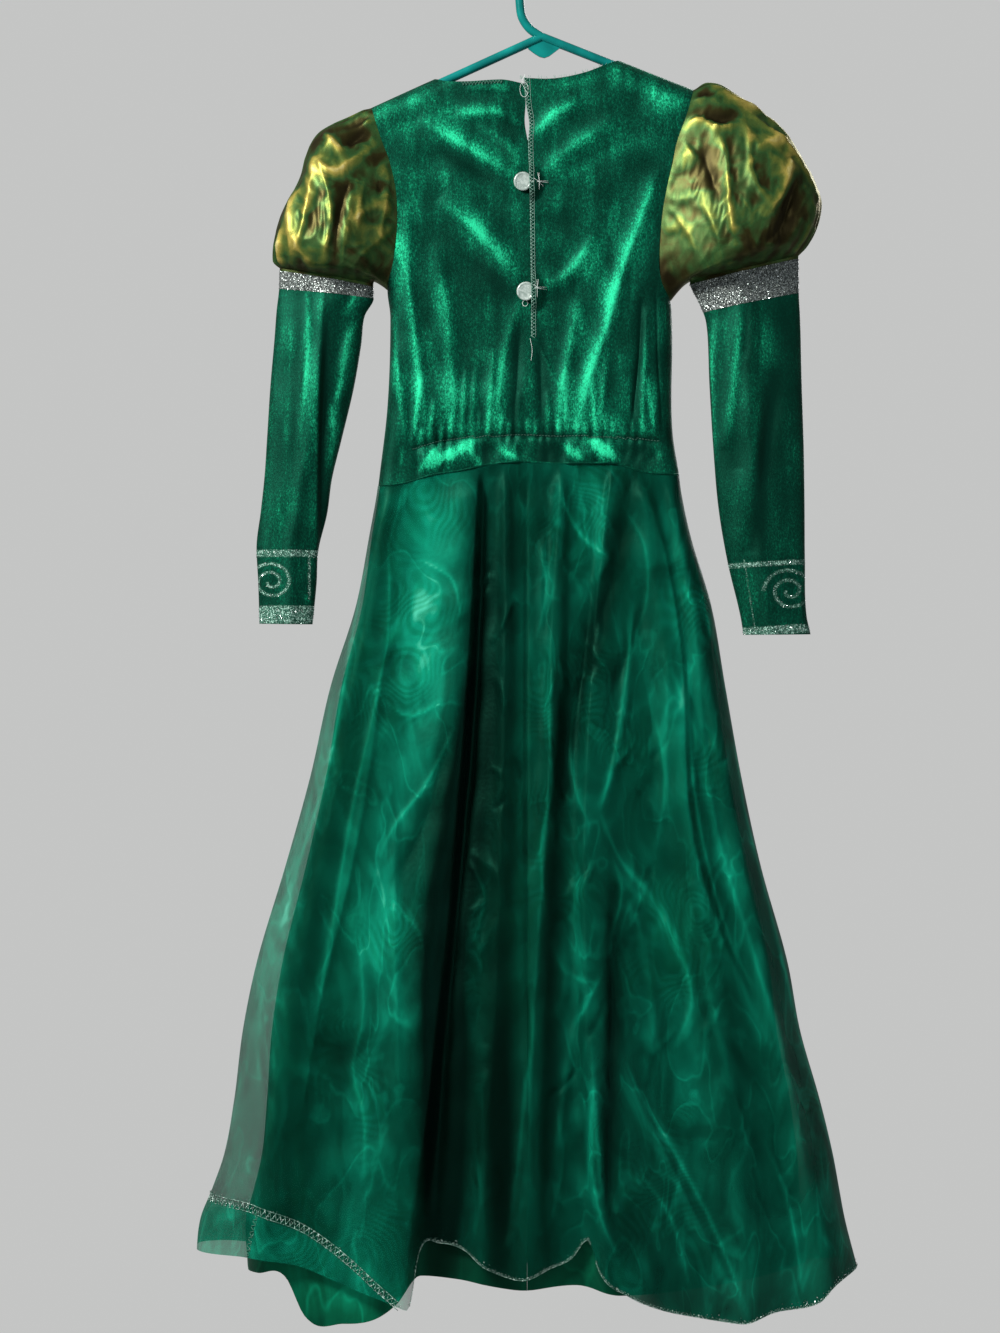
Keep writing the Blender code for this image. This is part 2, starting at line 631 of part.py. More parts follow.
def make_skirt(organza, satin):
    layers = {
        "overlay": (organza, ORGANZA, overlay_left, overlay_right, overlay_depth,
                    BACK_HEM, FRONT_HEM, 16, 7, 12),
        "lining": (satin, SATIN, lining_left, lining_right, lining_depth,
                   LINING_BACK_HEM, LINING_FRONT_HEM, 11, 5, 8),
    }
    for layer, row in layers.items():
        material, thickness, left, right, depth, back_hem, front_hem, back_flat, front_flat, count = row
        rows = np.linspace(0.0, 1.0, count) ** 0.9
        rows = np.unique(np.concatenate([rows, [0.02]]))

        def back_depth(x, z, depth=depth):
            return depth(BACK_FOLDS, x, z)

        def front_depth(x, z, depth=depth):
            return depth(FRONT_FOLDS, x, z)

        for side, word, outer in ((-1, "left", left), (1, "right", right)):
            centre = skirt_back_edge(side)
            top = line_at(waist, centre, outer, SKIRT_TOP, -SEAM_GAP / 2)
            bottom = line_at(across(back_hem), centre, outer, HEM_LEVEL)
            grid = panel(edge_columns(back_flat, 5), rows, centre, outer, top, bottom, back_depth, -1)
            wall(f"skirt_{layer}_back_{word}", grid, thickness, material, level_rows=(0,),
                 square_columns=(0,))
        top = line_at(front_waist, left, right, SKIRT_TOP, -SEAM_GAP / 2)
        bottom = line_at(across(front_hem), left, right, HEM_LEVEL)
        columns = both_edge_columns(front_flat, 5)
        grid = panel(columns, rows, left, right, top, bottom, front_depth, 1)
        wall(f"skirt_{layer}_front", grid, thickness, material, level_rows=(0,))


def arm_ring(table, level, angle):
    """Points around a flattened sleeve at a height: angle 0 is its outer edge, pi its inner."""
    share = (1 - np.cos(angle)) / 2
    x = mix(column(table, "z", "x_out")(level), column(table, "z", "x_in")(level), share)
    z = level - column(table, "z", "drop")(level) * share
    ridge = 1 + SLEEVE_RIDGE * np.exp(-((share - SLEEVE_RIDGE_AT) / SLEEVE_RIDGE_WIDTH) ** 2)
    near = column(table, "z", "near")(level) * ridge
    far = column(table, "z", "far")(level)
    y = -np.sin(angle) * np.where(np.sin(angle) > 0, near, far)
    return np.stack([x + 0 * y, y, z + 0 * y], axis=-1)


def make_arm(word, table, cuff_z, ribbon, velvet):
    pieces = {
        f"arm_band_{word}": (table[0].z, table[1].z, 2, RIBBON, ribbon),
        f"lower_sleeve_{word}": (table[1].z - SEAM_GAP, cuff_z, 8, VELVET, velvet),
        f"cuff_{word}": (cuff_z - SEAM_GAP, table[-1].z, 3, VELVET, velvet),
    }
    angles = np.linspace(0.0, 2 * math.pi, 16, endpoint=False)
    for name, (top, bottom, count, thickness, material) in pieces.items():
        levels = np.linspace(top, bottom, count)
        level, angle = np.meshgrid(levels, angles, indexing="ij")
        grid = arm_ring(table, level, angle)
        wall(name, grid, thickness, material, closed=True, level_rows=(0, -1))


def outline(points):
    """A smooth line through points, by its share of the length from 0 to 1."""
    steps = [math.dist(a, b) for a, b in zip(points, points[1:])]
    places = np.concatenate([[0.0], np.cumsum(steps)]) / sum(steps)
    by_x = curve([(place, point.x) for place, point in zip(places, points)])
    by_z = curve([(place, point.z) for place, point in zip(places, points)])
    return by_x, by_z


def make_puff(word, points, outer, underarm_z, arm, material):
    """A puff sleeve: rings that fan round the underarm from the armhole to the arm band."""
    side = -1 if word == "left" else 1
    by_x, by_z = outline(points)
    angles = np.linspace(0.0, 2 * math.pi, 28, endpoint=False)
    shares = np.array([0, .035, .08, .15, .26, .4, .55, .7, .82, .9, .95, .98, 1])
    w, angle = np.meshgrid(shares, angles, indexing="ij")
    inner_x = mix(float(outer(underarm_z)), arm[0].x_in, w)
    inner_z = mix(underarm_z, arm[0].z - arm[0].drop + PUFF_INNER_RISE, w)
    reach = (1 - np.cos(angle)) / 2

    def fan(share):
        x = mix(by_x(share), inner_x, reach)
        z = mix(by_z(share), inner_z, reach)
        y = -np.sin(angle) * puff_half_depth(share)
        return np.stack([x, y, z], axis=-1)

    tip_z = points[0].z
    armhole_z = mix(tip_z, underarm_z, reach)
    armhole_x = outer(armhole_z)
    armhole_y = -np.sign(np.sin(angle)) * bodice_depth(armhole_x, armhole_z)
    armhole_y = np.where(np.abs(np.sin(angle)) < 1e-6, 0.0, armhole_y)
    armhole = np.stack([armhole_x + side * ARMHOLE_GAP, armhole_y, armhole_z], axis=-1)
    band = arm_ring(arm, arm[0].z + 0 * angle, angle)
    band[..., 2] += SEAM_GAP

    grid = fan(w)
    start = grid[:1] - armhole[:1]
    stop = grid[-1:] - band[-1:]
    grid = grid - start * ((1 - w) ** PUFF_TO_ARMHOLE)[..., None] - stop * (w ** PUFF_TO_BAND)[..., None]

    centre = grid.mean(axis=1, keepdims=True)
    outward = grid - centre
    outward /= np.linalg.norm(outward, axis=-1, keepdims=True)
    ends = np.exp(-(w / PUFF_GATHER_REACH) ** 2) + np.exp(-((1 - w) / PUFF_GATHER_REACH) ** 2)
    free = smooth_step(w / PUFF_FREE_START) * smooth_step((1 - w) / PUFF_FREE_STOP)
    open_side = mix(1.0, PUFF_INNER_SHARE, reach)
    wave = np.cos(np.pi * np.arange(len(angles)))[None, :]
    gathers = PUFF_GATHER_RISE * wave * ends * free
    big_folds = PUFF_FOLD_RISE * np.cos(PUFF_FOLDS * angle + PUFF_FOLD_TWIST * w) * np.sin(np.pi * w)
    grid = grid + outward * ((gathers + big_folds) * open_side)[..., None]
    grid[-2] = band[-1] + np.array([0.0, 0.0, COLLAR_HEIGHT])
    wall(f"puff_sleeve_{word}", grid, LAME, material, closed=True, level_rows=(-1,))


def make_button(name, place, material):
    """A round button with a rounded rim and a shallow dish, turned round its axis."""
    face_radius = BUTTON_RADIUS - BUTTON_RIM
    profile = [
        (face_radius, 0.0), (BUTTON_RADIUS, BUTTON_RIM), (BUTTON_RADIUS, BUTTON_THICKNESS - BUTTON_RIM),
        (face_radius, BUTTON_THICKNESS), (BUTTON_RADIUS * 0.6, BUTTON_THICKNESS - BUTTON_DISH),
    ]
    bm = bmesh.new()
    sides = BUTTON_SIDES
    rings = []
    for radius, height in profile:
        ring = []
        for k in range(sides):
            angle = 2 * math.pi * k / sides
            point = (radius * math.cos(angle) * MM, -height * MM, radius * math.sin(angle) * MM)
            ring.append(bm.verts.new(point))
        rings.append(ring)
    for low, high in zip(rings, rings[1:]):
        for k in range(sides):
            n = (k + 1) % sides
            bm.faces.new((low[k], low[n], high[n], high[k]))
    bm.faces.new(rings[0])
    bm.faces.new(rings[-1])
    bmesh.ops.recalc_face_normals(bm, faces=bm.faces)
    mesh = bpy.data.meshes.new(name)
    bm.to_mesh(mesh)
    bm.free()
    item = add_object(name, mesh, material)
    seat = button_seat(place) + VELVET / 2 + BUTTON_GAP
    item.location = (place.x * MM, -seat * MM, place.z * MM)
    return item


def tube_mesh(name, points, cyclic):
    """A round tube through points in the XZ plane."""
    points = np.array(points, float)
    if cyclic:
        ahead = np.roll(points, -1, axis=0)
        behind = np.roll(points, 1, axis=0)
    else:
        ahead = np.concatenate([points[1:], points[-1:]])
        behind = np.concatenate([points[:1], points[:-1]])
    run = ahead - behind
    run /= np.linalg.norm(run, axis=1, keepdims=True)
    bm = bmesh.new()
    rings = []
    for (x, z), (run_x, run_z) in zip(points, run):
        ring = []
        for k in range(TUBE_SIDES):
            angle = 2 * math.pi * (k + 0.5) / TUBE_SIDES
            aside = TUBE_RADIUS * math.cos(angle)
            point = (x - run_z * aside, TUBE_RADIUS * math.sin(angle), z + run_x * aside)
            ring.append(bm.verts.new(np.array(point) * MM))
        rings.append(ring)
    pairs = list(zip(rings, rings[1:]))
    if cyclic:
        pairs.append((rings[-1], rings[0]))
    else:
        bm.faces.new(rings[0])
        bm.faces.new(rings[-1])
    for low, high in pairs:
        for k in range(TUBE_SIDES):
            n = (k + 1) % TUBE_SIDES
            bm.faces.new((low[k], low[n], high[n], high[k]))
    bmesh.ops.recalc_face_normals(bm, faces=bm.faces)
    mesh = bpy.data.meshes.new(name)
    bm.to_mesh(mesh)
    bm.free()
    mesh.shade_smooth()
    return mesh


def round_corner(before, corner, after, radius, steps):
    """Points of an arc that rounds a corner between two straight runs."""
    before, corner, after = (np.array(point, float) for point in (before, corner, after))
    to_before = (before - corner) / np.linalg.norm(before - corner)
    to_after = (after - corner) / np.linalg.norm(after - corner)
    half = math.acos(float(np.dot(to_before, to_after))) / 2
    middle = to_before + to_after
    middle /= np.linalg.norm(middle)
    centre = corner + middle * radius / math.sin(half)
    sweep = math.pi - 2 * half
    across_middle = to_after - middle * np.dot(to_after, middle)
    across_middle /= np.linalg.norm(across_middle)
    points = []
    for k in range(steps + 1):
        angle = sweep * (k / steps - 0.5)
        points.append(centre + radius * (-middle * math.cos(angle) + across_middle * math.sin(angle)))
    return points


def make_hanger(material):
    joint = (0.0, JOINT_Z)
    left_x = -(JOINT_Z - BAR_Z) / (ARM_SLOPE_LEFT - BAR_SLOPE)
    right_x = (JOINT_Z - BAR_Z) / (ARM_SLOPE_RIGHT + BAR_SLOPE)
    left = (left_x, BAR_Z + BAR_SLOPE * left_x)
    right = (right_x, BAR_Z + BAR_SLOPE * right_x)
    loop = [joint]
    loop += round_corner(joint, left, right, END_RADIUS, 6)
    loop += round_corner(left, right, joint, END_RADIUS, 6)
    frame = add_object("hanger", tube_mesh("hanger", loop, True), material)

    centre_z = TUBE_RADIUS - HOOK_RADIUS
    hook = [(0.6, JOINT_Z + 0.2), (-11.0, JOINT_Z + 7.5), (-17.0, JOINT_Z + 17.0)]
    hook += [(-HOOK_RADIUS, JOINT_Z + 27.0)]
    for k in range(HOOK_STEPS + 1):
        angle = math.pi - HOOK_SWEEP * k / HOOK_STEPS
        hook.append((HOOK_RADIUS * math.cos(angle), centre_z + HOOK_RADIUS * math.sin(angle)))
    hook_guide = add_object("hook_guide", tube_mesh("hook_guide", hook, False), material)

    bm = bmesh.new()
    web = [(-13.0, JOINT_Z - 6.5), (-11.5, JOINT_Z - 10.5), (-2.0, JOINT_Z - 17.0), (2.0, JOINT_Z - 18.0)]
    web += [(6.0, JOINT_Z - 16.5), (16.0, JOINT_Z - 9.0), (14.5, JOINT_Z - 6.0), (0.0, JOINT_Z)]
    outline_verts = [bm.verts.new((x * MM, -WEB_THICKNESS / 2 * MM, z * MM)) for x, z in web]
    face = bm.faces.new(outline_verts)
    pushed = bmesh.ops.extrude_face_region(bm, geom=[face])
    moved = [item for item in pushed["geom"] if isinstance(item, bmesh.types.BMVert)]
    bmesh.ops.translate(bm, verts=moved, vec=(0.0, WEB_THICKNESS * MM, 0.0))
    bmesh.ops.recalc_face_normals(bm, faces=bm.faces)
    mesh = bpy.data.meshes.new("web_guide")
    bm.to_mesh(mesh)
    bm.free()
    web_guide = add_object("web_guide", mesh, material)

    for guide in (hook_guide, web_guide):
        guide.hide_render = True
        guide.display_type = "WIRE"
        union = frame.modifiers.new("join", "BOOLEAN")
        union.operation = "UNION"
        union.object = guide


def main():
    for item in list(bpy.data.objects):
        bpy.data.objects.remove(item, do_unlink=True)
    velvet = finish("velvet", (0.005, 0.15, 0.09), 0.6)
    lame = finish("lame", (0.35, 0.33, 0.1), 0.35, 0.6)
    ribbon = finish("glitter_ribbon", (0.3, 0.33, 0.32), 0.4, 0.6)
    organza = finish("organza", (0.002, 0.13, 0.075), 0.45)
    satin = finish("satin", (0.002, 0.16, 0.05), 0.4)
    pearl = finish("pearl_plastic", (0.8, 0.8, 0.78), 0.25)
    plastic = finish("teal_plastic", (0.005, 0.19, 0.19), 0.25)

    make_bodice(velvet)
    make_puff("left", PUFF_LEFT, outer_left, UNDERARM_LEFT_Z, ARM_LEFT, lame)
    make_puff("right", PUFF_RIGHT, outer_right, UNDERARM_RIGHT_Z, ARM_RIGHT, lame)
    make_arm("left", ARM_LEFT, CUFF_LEFT_Z, ribbon, velvet)
    make_arm("right", ARM_RIGHT, CUFF_RIGHT_Z, ribbon, velvet)
    make_skirt(organza, satin)
    for name, place in BUTTONS.items():
        make_button(name, place, pearl)
    make_hanger(plastic)


main()
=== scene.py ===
# %% [markdown]
# # A child's costume gown on a hanger
# The gown hangs nearly flat with its buttoned back towards us. Each cut and sewn piece of the
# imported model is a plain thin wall. Here every wall is made again from the same lines, but with
# many more points, so that it can carry the small folds, gathers and pulls of real cloth. The
# sewing, the glitter and the buttons come on top of it.

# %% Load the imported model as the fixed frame
import math
from collections import namedtuple

import bmesh
import bpy
import numpy as np
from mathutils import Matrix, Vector


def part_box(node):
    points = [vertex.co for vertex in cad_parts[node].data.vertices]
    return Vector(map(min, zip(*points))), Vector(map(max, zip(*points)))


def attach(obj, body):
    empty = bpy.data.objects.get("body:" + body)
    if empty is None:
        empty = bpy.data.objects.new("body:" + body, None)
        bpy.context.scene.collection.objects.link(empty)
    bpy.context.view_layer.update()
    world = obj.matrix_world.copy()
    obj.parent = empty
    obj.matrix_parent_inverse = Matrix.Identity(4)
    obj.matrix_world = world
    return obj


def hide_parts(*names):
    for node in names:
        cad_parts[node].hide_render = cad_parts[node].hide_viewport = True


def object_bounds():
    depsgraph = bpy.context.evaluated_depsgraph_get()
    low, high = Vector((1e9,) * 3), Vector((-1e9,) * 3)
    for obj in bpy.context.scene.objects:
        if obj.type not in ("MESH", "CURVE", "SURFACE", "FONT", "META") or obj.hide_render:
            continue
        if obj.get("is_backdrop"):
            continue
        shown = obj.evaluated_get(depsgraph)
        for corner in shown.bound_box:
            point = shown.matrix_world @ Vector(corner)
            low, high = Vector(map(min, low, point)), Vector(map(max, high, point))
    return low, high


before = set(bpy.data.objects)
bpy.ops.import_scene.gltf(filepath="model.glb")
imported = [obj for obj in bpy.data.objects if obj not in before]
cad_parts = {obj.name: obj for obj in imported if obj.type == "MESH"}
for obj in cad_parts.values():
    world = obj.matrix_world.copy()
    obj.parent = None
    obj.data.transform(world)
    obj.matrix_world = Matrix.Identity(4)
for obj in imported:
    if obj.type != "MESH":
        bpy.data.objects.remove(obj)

cad_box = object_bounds()
print("nodes in the frame:", len(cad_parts))

# %% [markdown]
# The photograph is 1000 by 1333 pixels, and one pixel is 0.85 mm on the gown. The origin is the
# top of the inside of the hanger's hook, a little above the picture. A fold that was measured in
# pixels gets its place in millimetres from one small function. The camera looks straight at the
# back, from far enough for the sleeves to keep their width.

# %% Camera
MM = 0.001
MM_PER_PIXEL = 0.85
HOOK_COLUMN, HOOK_ROW = 542, -48
PHOTO_WIDTH, PHOTO_HEIGHT = 1000, 1333
CAMERA_DISTANCE = 3.4


def from_photo(column, row):
    """The place in x and z, in millimetres, that a pixel of the photograph shows."""
    return ((column - HOOK_COLUMN) * MM_PER_PIXEL, (HOOK_ROW - row) * MM_PER_PIXEL)


def photo_x(column):
    return from_photo(column, 0)[0]


def in_scene(name, data):
    """A new object with its data, linked to the scene."""
    item = bpy.data.objects.new(name, data)
    bpy.context.scene.collection.objects.link(item)
    return item


middle_x, middle_z = from_photo(PHOTO_WIDTH / 2, PHOTO_HEIGHT / 2)
camera_data = bpy.data.cameras.new("camera")
camera = in_scene("camera", camera_data)
camera.location = (middle_x * MM, -CAMERA_DISTANCE, middle_z * MM)
camera.rotation_euler = (math.pi / 2, 0.0, 0.0)
half_height = PHOTO_HEIGHT / 2 * MM_PER_PIXEL * MM
camera_data.lens = camera_data.sensor_width / 2 / (half_height / CAMERA_DISTANCE)
bpy.context.scene.camera = camera
print("lens:", round(camera_data.lens, 1), "mm")

# %% [markdown]
# One broad soft light stands high on the left, so that every fold has a lit side and a shaded
# one. A wide weak light from the right keeps the shaded sides readable, and a third one lights
# the far side. The room itself is pale.

# %% Lights, floor and room
FLOOR_Z, FLOOR_RADIUS = -1.75, 1.2
ROOM_STRENGTH, ROOM_SEEN = 0.22, 0.63
GOWN_CENTRE = (-0.03, 0.0, -0.6)


def linear(code):
    """An sRGB hex colour as linear red, green and blue."""
    parts = [int(code[i:i + 2], 16) / 255 for i in (1, 3, 5)]
    return tuple(p / 12.92 if p <= 0.04045 else ((p + 0.055) / 1.055) ** 2.4 for p in parts)


def area_light(name, place, size, watts, colour="#FFFFFF"):
    """A round lamp that faces the middle of the gown."""
    data = bpy.data.lights.new(name, "AREA")
    data.shape, data.size, data.energy, data.color = "DISK", size, watts, linear(colour)
    item = in_scene(name, data)
    item.location = place
    item.rotation_euler = (Vector(GOWN_CENTRE) - Vector(place)).to_track_quat("-Z", "Y").to_euler()


area_light("key", (-1.7, -1.5, 0.9), size=0.7, watts=120.0, colour="#FFFDF8")
area_light("fill", (1.6, -1.9, -0.4), size=1.6, watts=8.0, colour="#F2F6FF")
area_light("far_side", (0.9, 2.3, 0.4), size=1.4, watts=26.0)

floor_mesh = bpy.data.meshes.new("floor")
floor_build = bmesh.new()
bmesh.ops.create_circle(floor_build, cap_ends=True, segments=96, radius=FLOOR_RADIUS)
bmesh.ops.translate(floor_build, verts=floor_build.verts, vec=(0.0, 0.0, FLOOR_Z))
floor_build.to_mesh(floor_mesh)
floor_build.free()
floor = in_scene("floor", floor_mesh)
floor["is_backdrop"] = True
bpy.context.scene.view_settings.view_transform = "Standard"

# %% [markdown]
# Every finish below is a small graph of nodes. One function adds a node with its settings and
# its links. The graphs read the piece's own coordinates in millimetres, so a thread is as wide
# here as it is on the gown. Attributes come from the pieces, and most of them paint light and
# shade into the colour. The crest is high on a fold's ridge and low in its valley, and the finishes
# paint ridges lighter as painted highlights and valleys darker as painted shade. The shade paints a
# deep dark fold as painted shade, and another mark paints a highlight on a stretch that faces the
# light. Dense marks where the sheer cloth lies in many layers, and it is also raised where painted
# light and shade must cover the backdrop.


# %% Functions for nodes
def connect(tree, value, socket):
    """Link a node or an output to a socket, or set the socket's plain value."""
    if isinstance(value, bpy.types.Node):
        value = value.outputs[0]
    if isinstance(value, bpy.types.NodeSocket):
        tree.links.new(value, socket)
    else:
        socket.default_value = value


def add(tree, kind, settings=(), **sockets):
    """Add a node. settings are its properties; sockets are its inputs, by name or _index."""
    made = tree.nodes.new(kind)
    for name, value in dict(settings).items():
        setattr(made, name, value)
    for name, value in sockets.items():
        connect(tree, value, made.inputs[int(name[1:]) if name[0] == "_" else name.replace("_", " ")])
    return made


def start_material(name):
    material = bpy.data.materials.new(name)
    material.use_nodes = True
    tree = material.node_tree
    shader = tree.nodes["Principled BSDF"]
    place = add(tree, "ShaderNodeTexCoord")
    in_mm = add(tree, "ShaderNodeMapping", Vector=place.outputs["Object"], Scale=(1000, 1000, 1000))
    return material, tree, shader, in_mm


def dye(code):
    return (*linear(code), 1.0)


def set_shader(tree, shader, **inputs):
    """Give the shader its links and its uniform values; a hex code is a colour."""
    for name, value in inputs.items():
        value = dye(value) if isinstance(value, str) else value
        connect(tree, value, shader.inputs[name.replace("_", " ")])


def ramp(tree, factor, stops):
    """A colour ramp with (position, hex colour) stops."""
    made = add(tree, "ShaderNodeValToRGB", Fac=factor)
    elements = made.color_ramp.elements
    while len(elements) < len(stops):
        elements.new(0.5)
    for element, (position, code) in zip(elements, stops):
        element.position = position
        element.color = dye(code)
    return made


def blend_colour(tree, factor, first, second, kind="MIX"):
    return add(tree, "ShaderNodeMix", {"data_type": "RGBA", "blend_type": kind},
               _0=factor, _6=first, _7=second).outputs[2]


def numbers(tree, kind, *values):
    inputs = {f"_{k}": value for k, value in enumerate(values)}
    return add(tree, "ShaderNodeMath", {"operation": kind}, **inputs).outputs[0]


def weighted(tree, total, *parts):
    """A constant plus values that each have their weight."""
    for value, weight in parts:
        total = numbers(tree, "MULTIPLY_ADD", value, weight, total)
    return total


def attribute(tree, name):
    return add(tree, "ShaderNodeAttribute", {"attribute_name": name}).outputs["Fac"]


def noise(tree, vector, scale, **more):
    return add(tree, "ShaderNodeTexNoise", Vector=vector, Scale=scale, **more)


def stretched(tree, vector, *scale):
    return add(tree, "ShaderNodeMapping", Vector=vector, Scale=scale)


def bump(tree, height, strength, distance):
    return add(tree, "ShaderNodeBump", Height=height, Strength=strength, Distance=distance)


floor_finish, tree, shader, mm = start_material("painted_floor")
paint = ramp(tree, noise(tree, mm, 0.01, Detail=4.0), [(0.3, "#D6D8DA"), (0.7, "#DDDFE1")])
set_shader(tree, shader, Base_Color=paint, Roughness=0.8)
floor_mesh.materials.append(floor_finish)

room = bpy.context.scene.world or bpy.data.worlds.new("room")
bpy.context.scene.world = room
room.use_nodes = True
tree = room.node_tree
tree.nodes.clear()
seen = add(tree, "ShaderNodeLightPath").outputs["Is Camera Ray"]
lit_part = add(tree, "ShaderNodeBackground", Color=dye("#F4F6F8"), Strength=ROOM_STRENGTH)
seen_part = add(tree, "ShaderNodeBackground", Color=dye("#F1F2F1"), Strength=ROOM_SEEN)
room_mix = add(tree, "ShaderNodeMixShader", _0=seen, _1=lit_part, _2=seen_part)
add(tree, "ShaderNodeOutputWorld", Surface=room_mix)
print("room made")

# %% [markdown]
# Stretch velvet is knitted polyester with a short upright pile. The pile shines where it leans
# towards the light and looks nearly black where we look into it, so the highlights are green and
# grainy. A sheen layer with a green tint gives the pale rim, and a tinted gloss adds to the streaks
# along the folds. The streaks are also painted into the colour from the crest, as painted
# highlights, and the shade attribute paints hollows nearly black, as painted shade. Fine noise
# about as wide as a tuft breaks both up.


# %% Velvet
def make_velvet(name, glitter=False):
    material, tree, shader, mm = start_material(name)
    tufts = noise(tree, stretched(tree, mm, 0.8, 0.8, 0.45), 1.0, Detail=4.0, Roughness=0.85)
    nap = noise(tree, stretched(tree, mm, 0.07, 0.07, 0.018), 1.0, Detail=4.0, Roughness=0.6)
    # Painted light and shade: the crest lifts the level on fold ridges towards the bright green highlight
    # stop, and lowers it in valleys.
    level = weighted(tree, -0.7, (attribute(tree, "crest"), 0.46), (nap, 0.8), (tufts, 1.4))
    pile = ramp(tree, level, [(0.1, "#000E09"), (0.34, "#02261B"), (0.5, "#043F2E"), (0.66, "#096A4B"),
                              (0.95, "#2BD49A")])
    # Painted shade: the shade attribute darkens the pile colour nearly to black in deep folds and hollows.
    colour = blend_colour(tree, attribute(tree, "shade"), pile, dye("#020F0C"))
    if glitter:
        flecks = add(tree, "ShaderNodeTexVoronoi", Vector=mm, Scale=1.3).outputs["Color"]
        spark = ramp(tree, flecks, [(0.3, "#1E3A31"), (0.62, "#456A5D"), (0.85, "#A9CFC1")])
        colour = blend_colour(tree, attribute(tree, "glitter"), colour, spark)
    set_shader(tree, shader, Base_Color=colour, Normal=bump(tree, tufts, 0.45, 0.0006), Roughness=0.48,
           Specular_IOR_Level=0.4, Specular_Tint="#3FE3B4", Sheen_Weight=0.18, Sheen_Roughness=0.3,
           Sheen_Tint="#2CC99C")
    return material


velvet = make_velvet("stretch_velvet")
cuff_velvet = make_velvet("stretch_velvet_with_glitter_print", glitter=True)
print("velvet made")

# %% [markdown]
# The puffs are a shot lame: metal foil threads one way and green yarn the other. Ridges look gold
# and hollows look green to dark brown. The colour follows the crest attribute, so the gold and pale
# tones on the ridges are painted highlights and the dark brown in the hollows is painted shade,
# broken up by soft noise; the shade attribute paints the darkest shade. Nearly half of its threads
# are foil, so it is nearly half a metal, with a soft gloss.

# %% Shot lame
lame, tree, shader, mm = start_material("shot_gold_green_lame")
shift = noise(tree, mm, 0.05, Detail=2.0, Distortion=1.0)
# Painted light and shade: the crest turns ridges gold and pale and hollows green to dark brown.
level = weighted(tree, 0.0, (attribute(tree, "crest"), 0.52), (shift, 0.7))
tone = ramp(tree, level, [(0.0, "#15110A"), (0.22, "#2A2A14"), (0.42, "#2F5A31"), (0.6, "#647436"),
                          (0.8, "#B7A754"), (1.0, "#F3E7A4")])
# Painted shade: the shade attribute darkens the lame to dark brown near the underarm and in deep hollows.
tone = blend_colour(tree, attribute(tree, "shade"), tone, dye("#120E08"))
yarn = noise(tree, mm, 2.2, Detail=2.0)
grain = ramp(tree, yarn, [(0.3, "#B8B8B0"), (0.7, "#FFFFFF")])
set_shader(tree, shader, Base_Color=blend_colour(tree, 1.0, tone, grain, "MULTIPLY"),
       Normal=bump(tree, yarn, 0.2, 0.0003), Metallic=0.42, Roughness=0.4, Specular_Tint="#E9D98A")
print("lame made")

# %% [markdown]
# The organza overlay is a sheer plain weave of fine filament. One layer lets about half of the
# light through. Two layers of it, or organza over satin, make watery rings called moire, drawn
# here as the contour lines of a soft noise, some millimetres apart. The satin lining is opaque,
# smooth and a warmer green. Both crush easily, so a second noise paints sharp creases into the
# colour: a pale line as a painted highlight beside a darker one as painted shade. The rest of each
# layer's colour also carries painted light and shade from the fold marks.


# %% Organza and satin
def fold_tone(tree, mm, stops, deep, patch_size):
    """The colour of a layer: random patches, with painted light where its zone faces the light, on crests
    and creases, and painted shade in valleys and deep folds.
    """
    long_way = stretched(tree, mm, 1.0, 1.0, 0.45)
    patches = noise(tree, long_way, patch_size, Detail=4.0, Distortion=1.6)
    crushed = noise(tree, long_way, patch_size * 0.9, Detail=2.0, Distortion=0.6)
    # A painted crease: a pale line as a painted highlight beside a darker line as painted shade.
    painted_crease = ramp(tree, crushed, [(0.4, "#7C7C7C"), (0.475, "#3A3A3A"), (0.5, "#FFFFFF"),
                                  (0.52, "#9A9A9A"), (0.6, "#7C7C7C")])
    # Painted light and shade: the mark for stretches that face the light and the crest lift the level, and
    # the shade mark darkens the colour to the deep one.
    level = weighted(tree, -0.17, (attribute(tree, "painted_light"), 0.4), (patches, 0.8), (painted_crease, 0.16),
                     (attribute(tree, "crest"), 0.28))
    return blend_colour(tree, attribute(tree, "shade"), ramp(tree, level, stops), dye(deep))


organza, tree, shader, mm = start_material("sheer_organza")
colour = fold_tone(tree, mm, [(0.0, "#01241B"), (0.3, "#034A39"), (0.5, "#066A53"), (0.75, "#0F9C7C"),
                              (1.0, "#5CDDBB")], "#010A08", 0.03)
hills = noise(tree, mm, 0.014, Detail=1.0)
rings = numbers(tree, "SINE", numbers(tree, "MULTIPLY", hills, 170.0))
watery = ramp(tree, weighted(tree, 0.5, (rings, 0.5)), [(0.15, "#BCDBD0"), (0.85, "#FFFFFF")])
places = ramp(tree, noise(tree, mm, 0.011, Detail=1.0), [(0.42, "#1C1C1C"), (0.6, "#E6E6E6")])
colour = blend_colour(tree, places.outputs[0], colour, watery, "MULTIPLY")
# Cover: denser where the cloth lies in layers, and where the painted light and shade must hide the backdrop.
cover = add(tree, "ShaderNodeMapRange", Value=attribute(tree, "dense"), To_Min=0.3, To_Max=0.94)
weave = noise(tree, mm, 0.3, Detail=3.0)
set_shader(tree, shader, Base_Color=colour, Alpha=cover, Normal=bump(tree, weave, 0.3, 0.0008),
       Roughness=0.46, Specular_IOR_Level=0.22, Specular_Tint="#54E8BC")

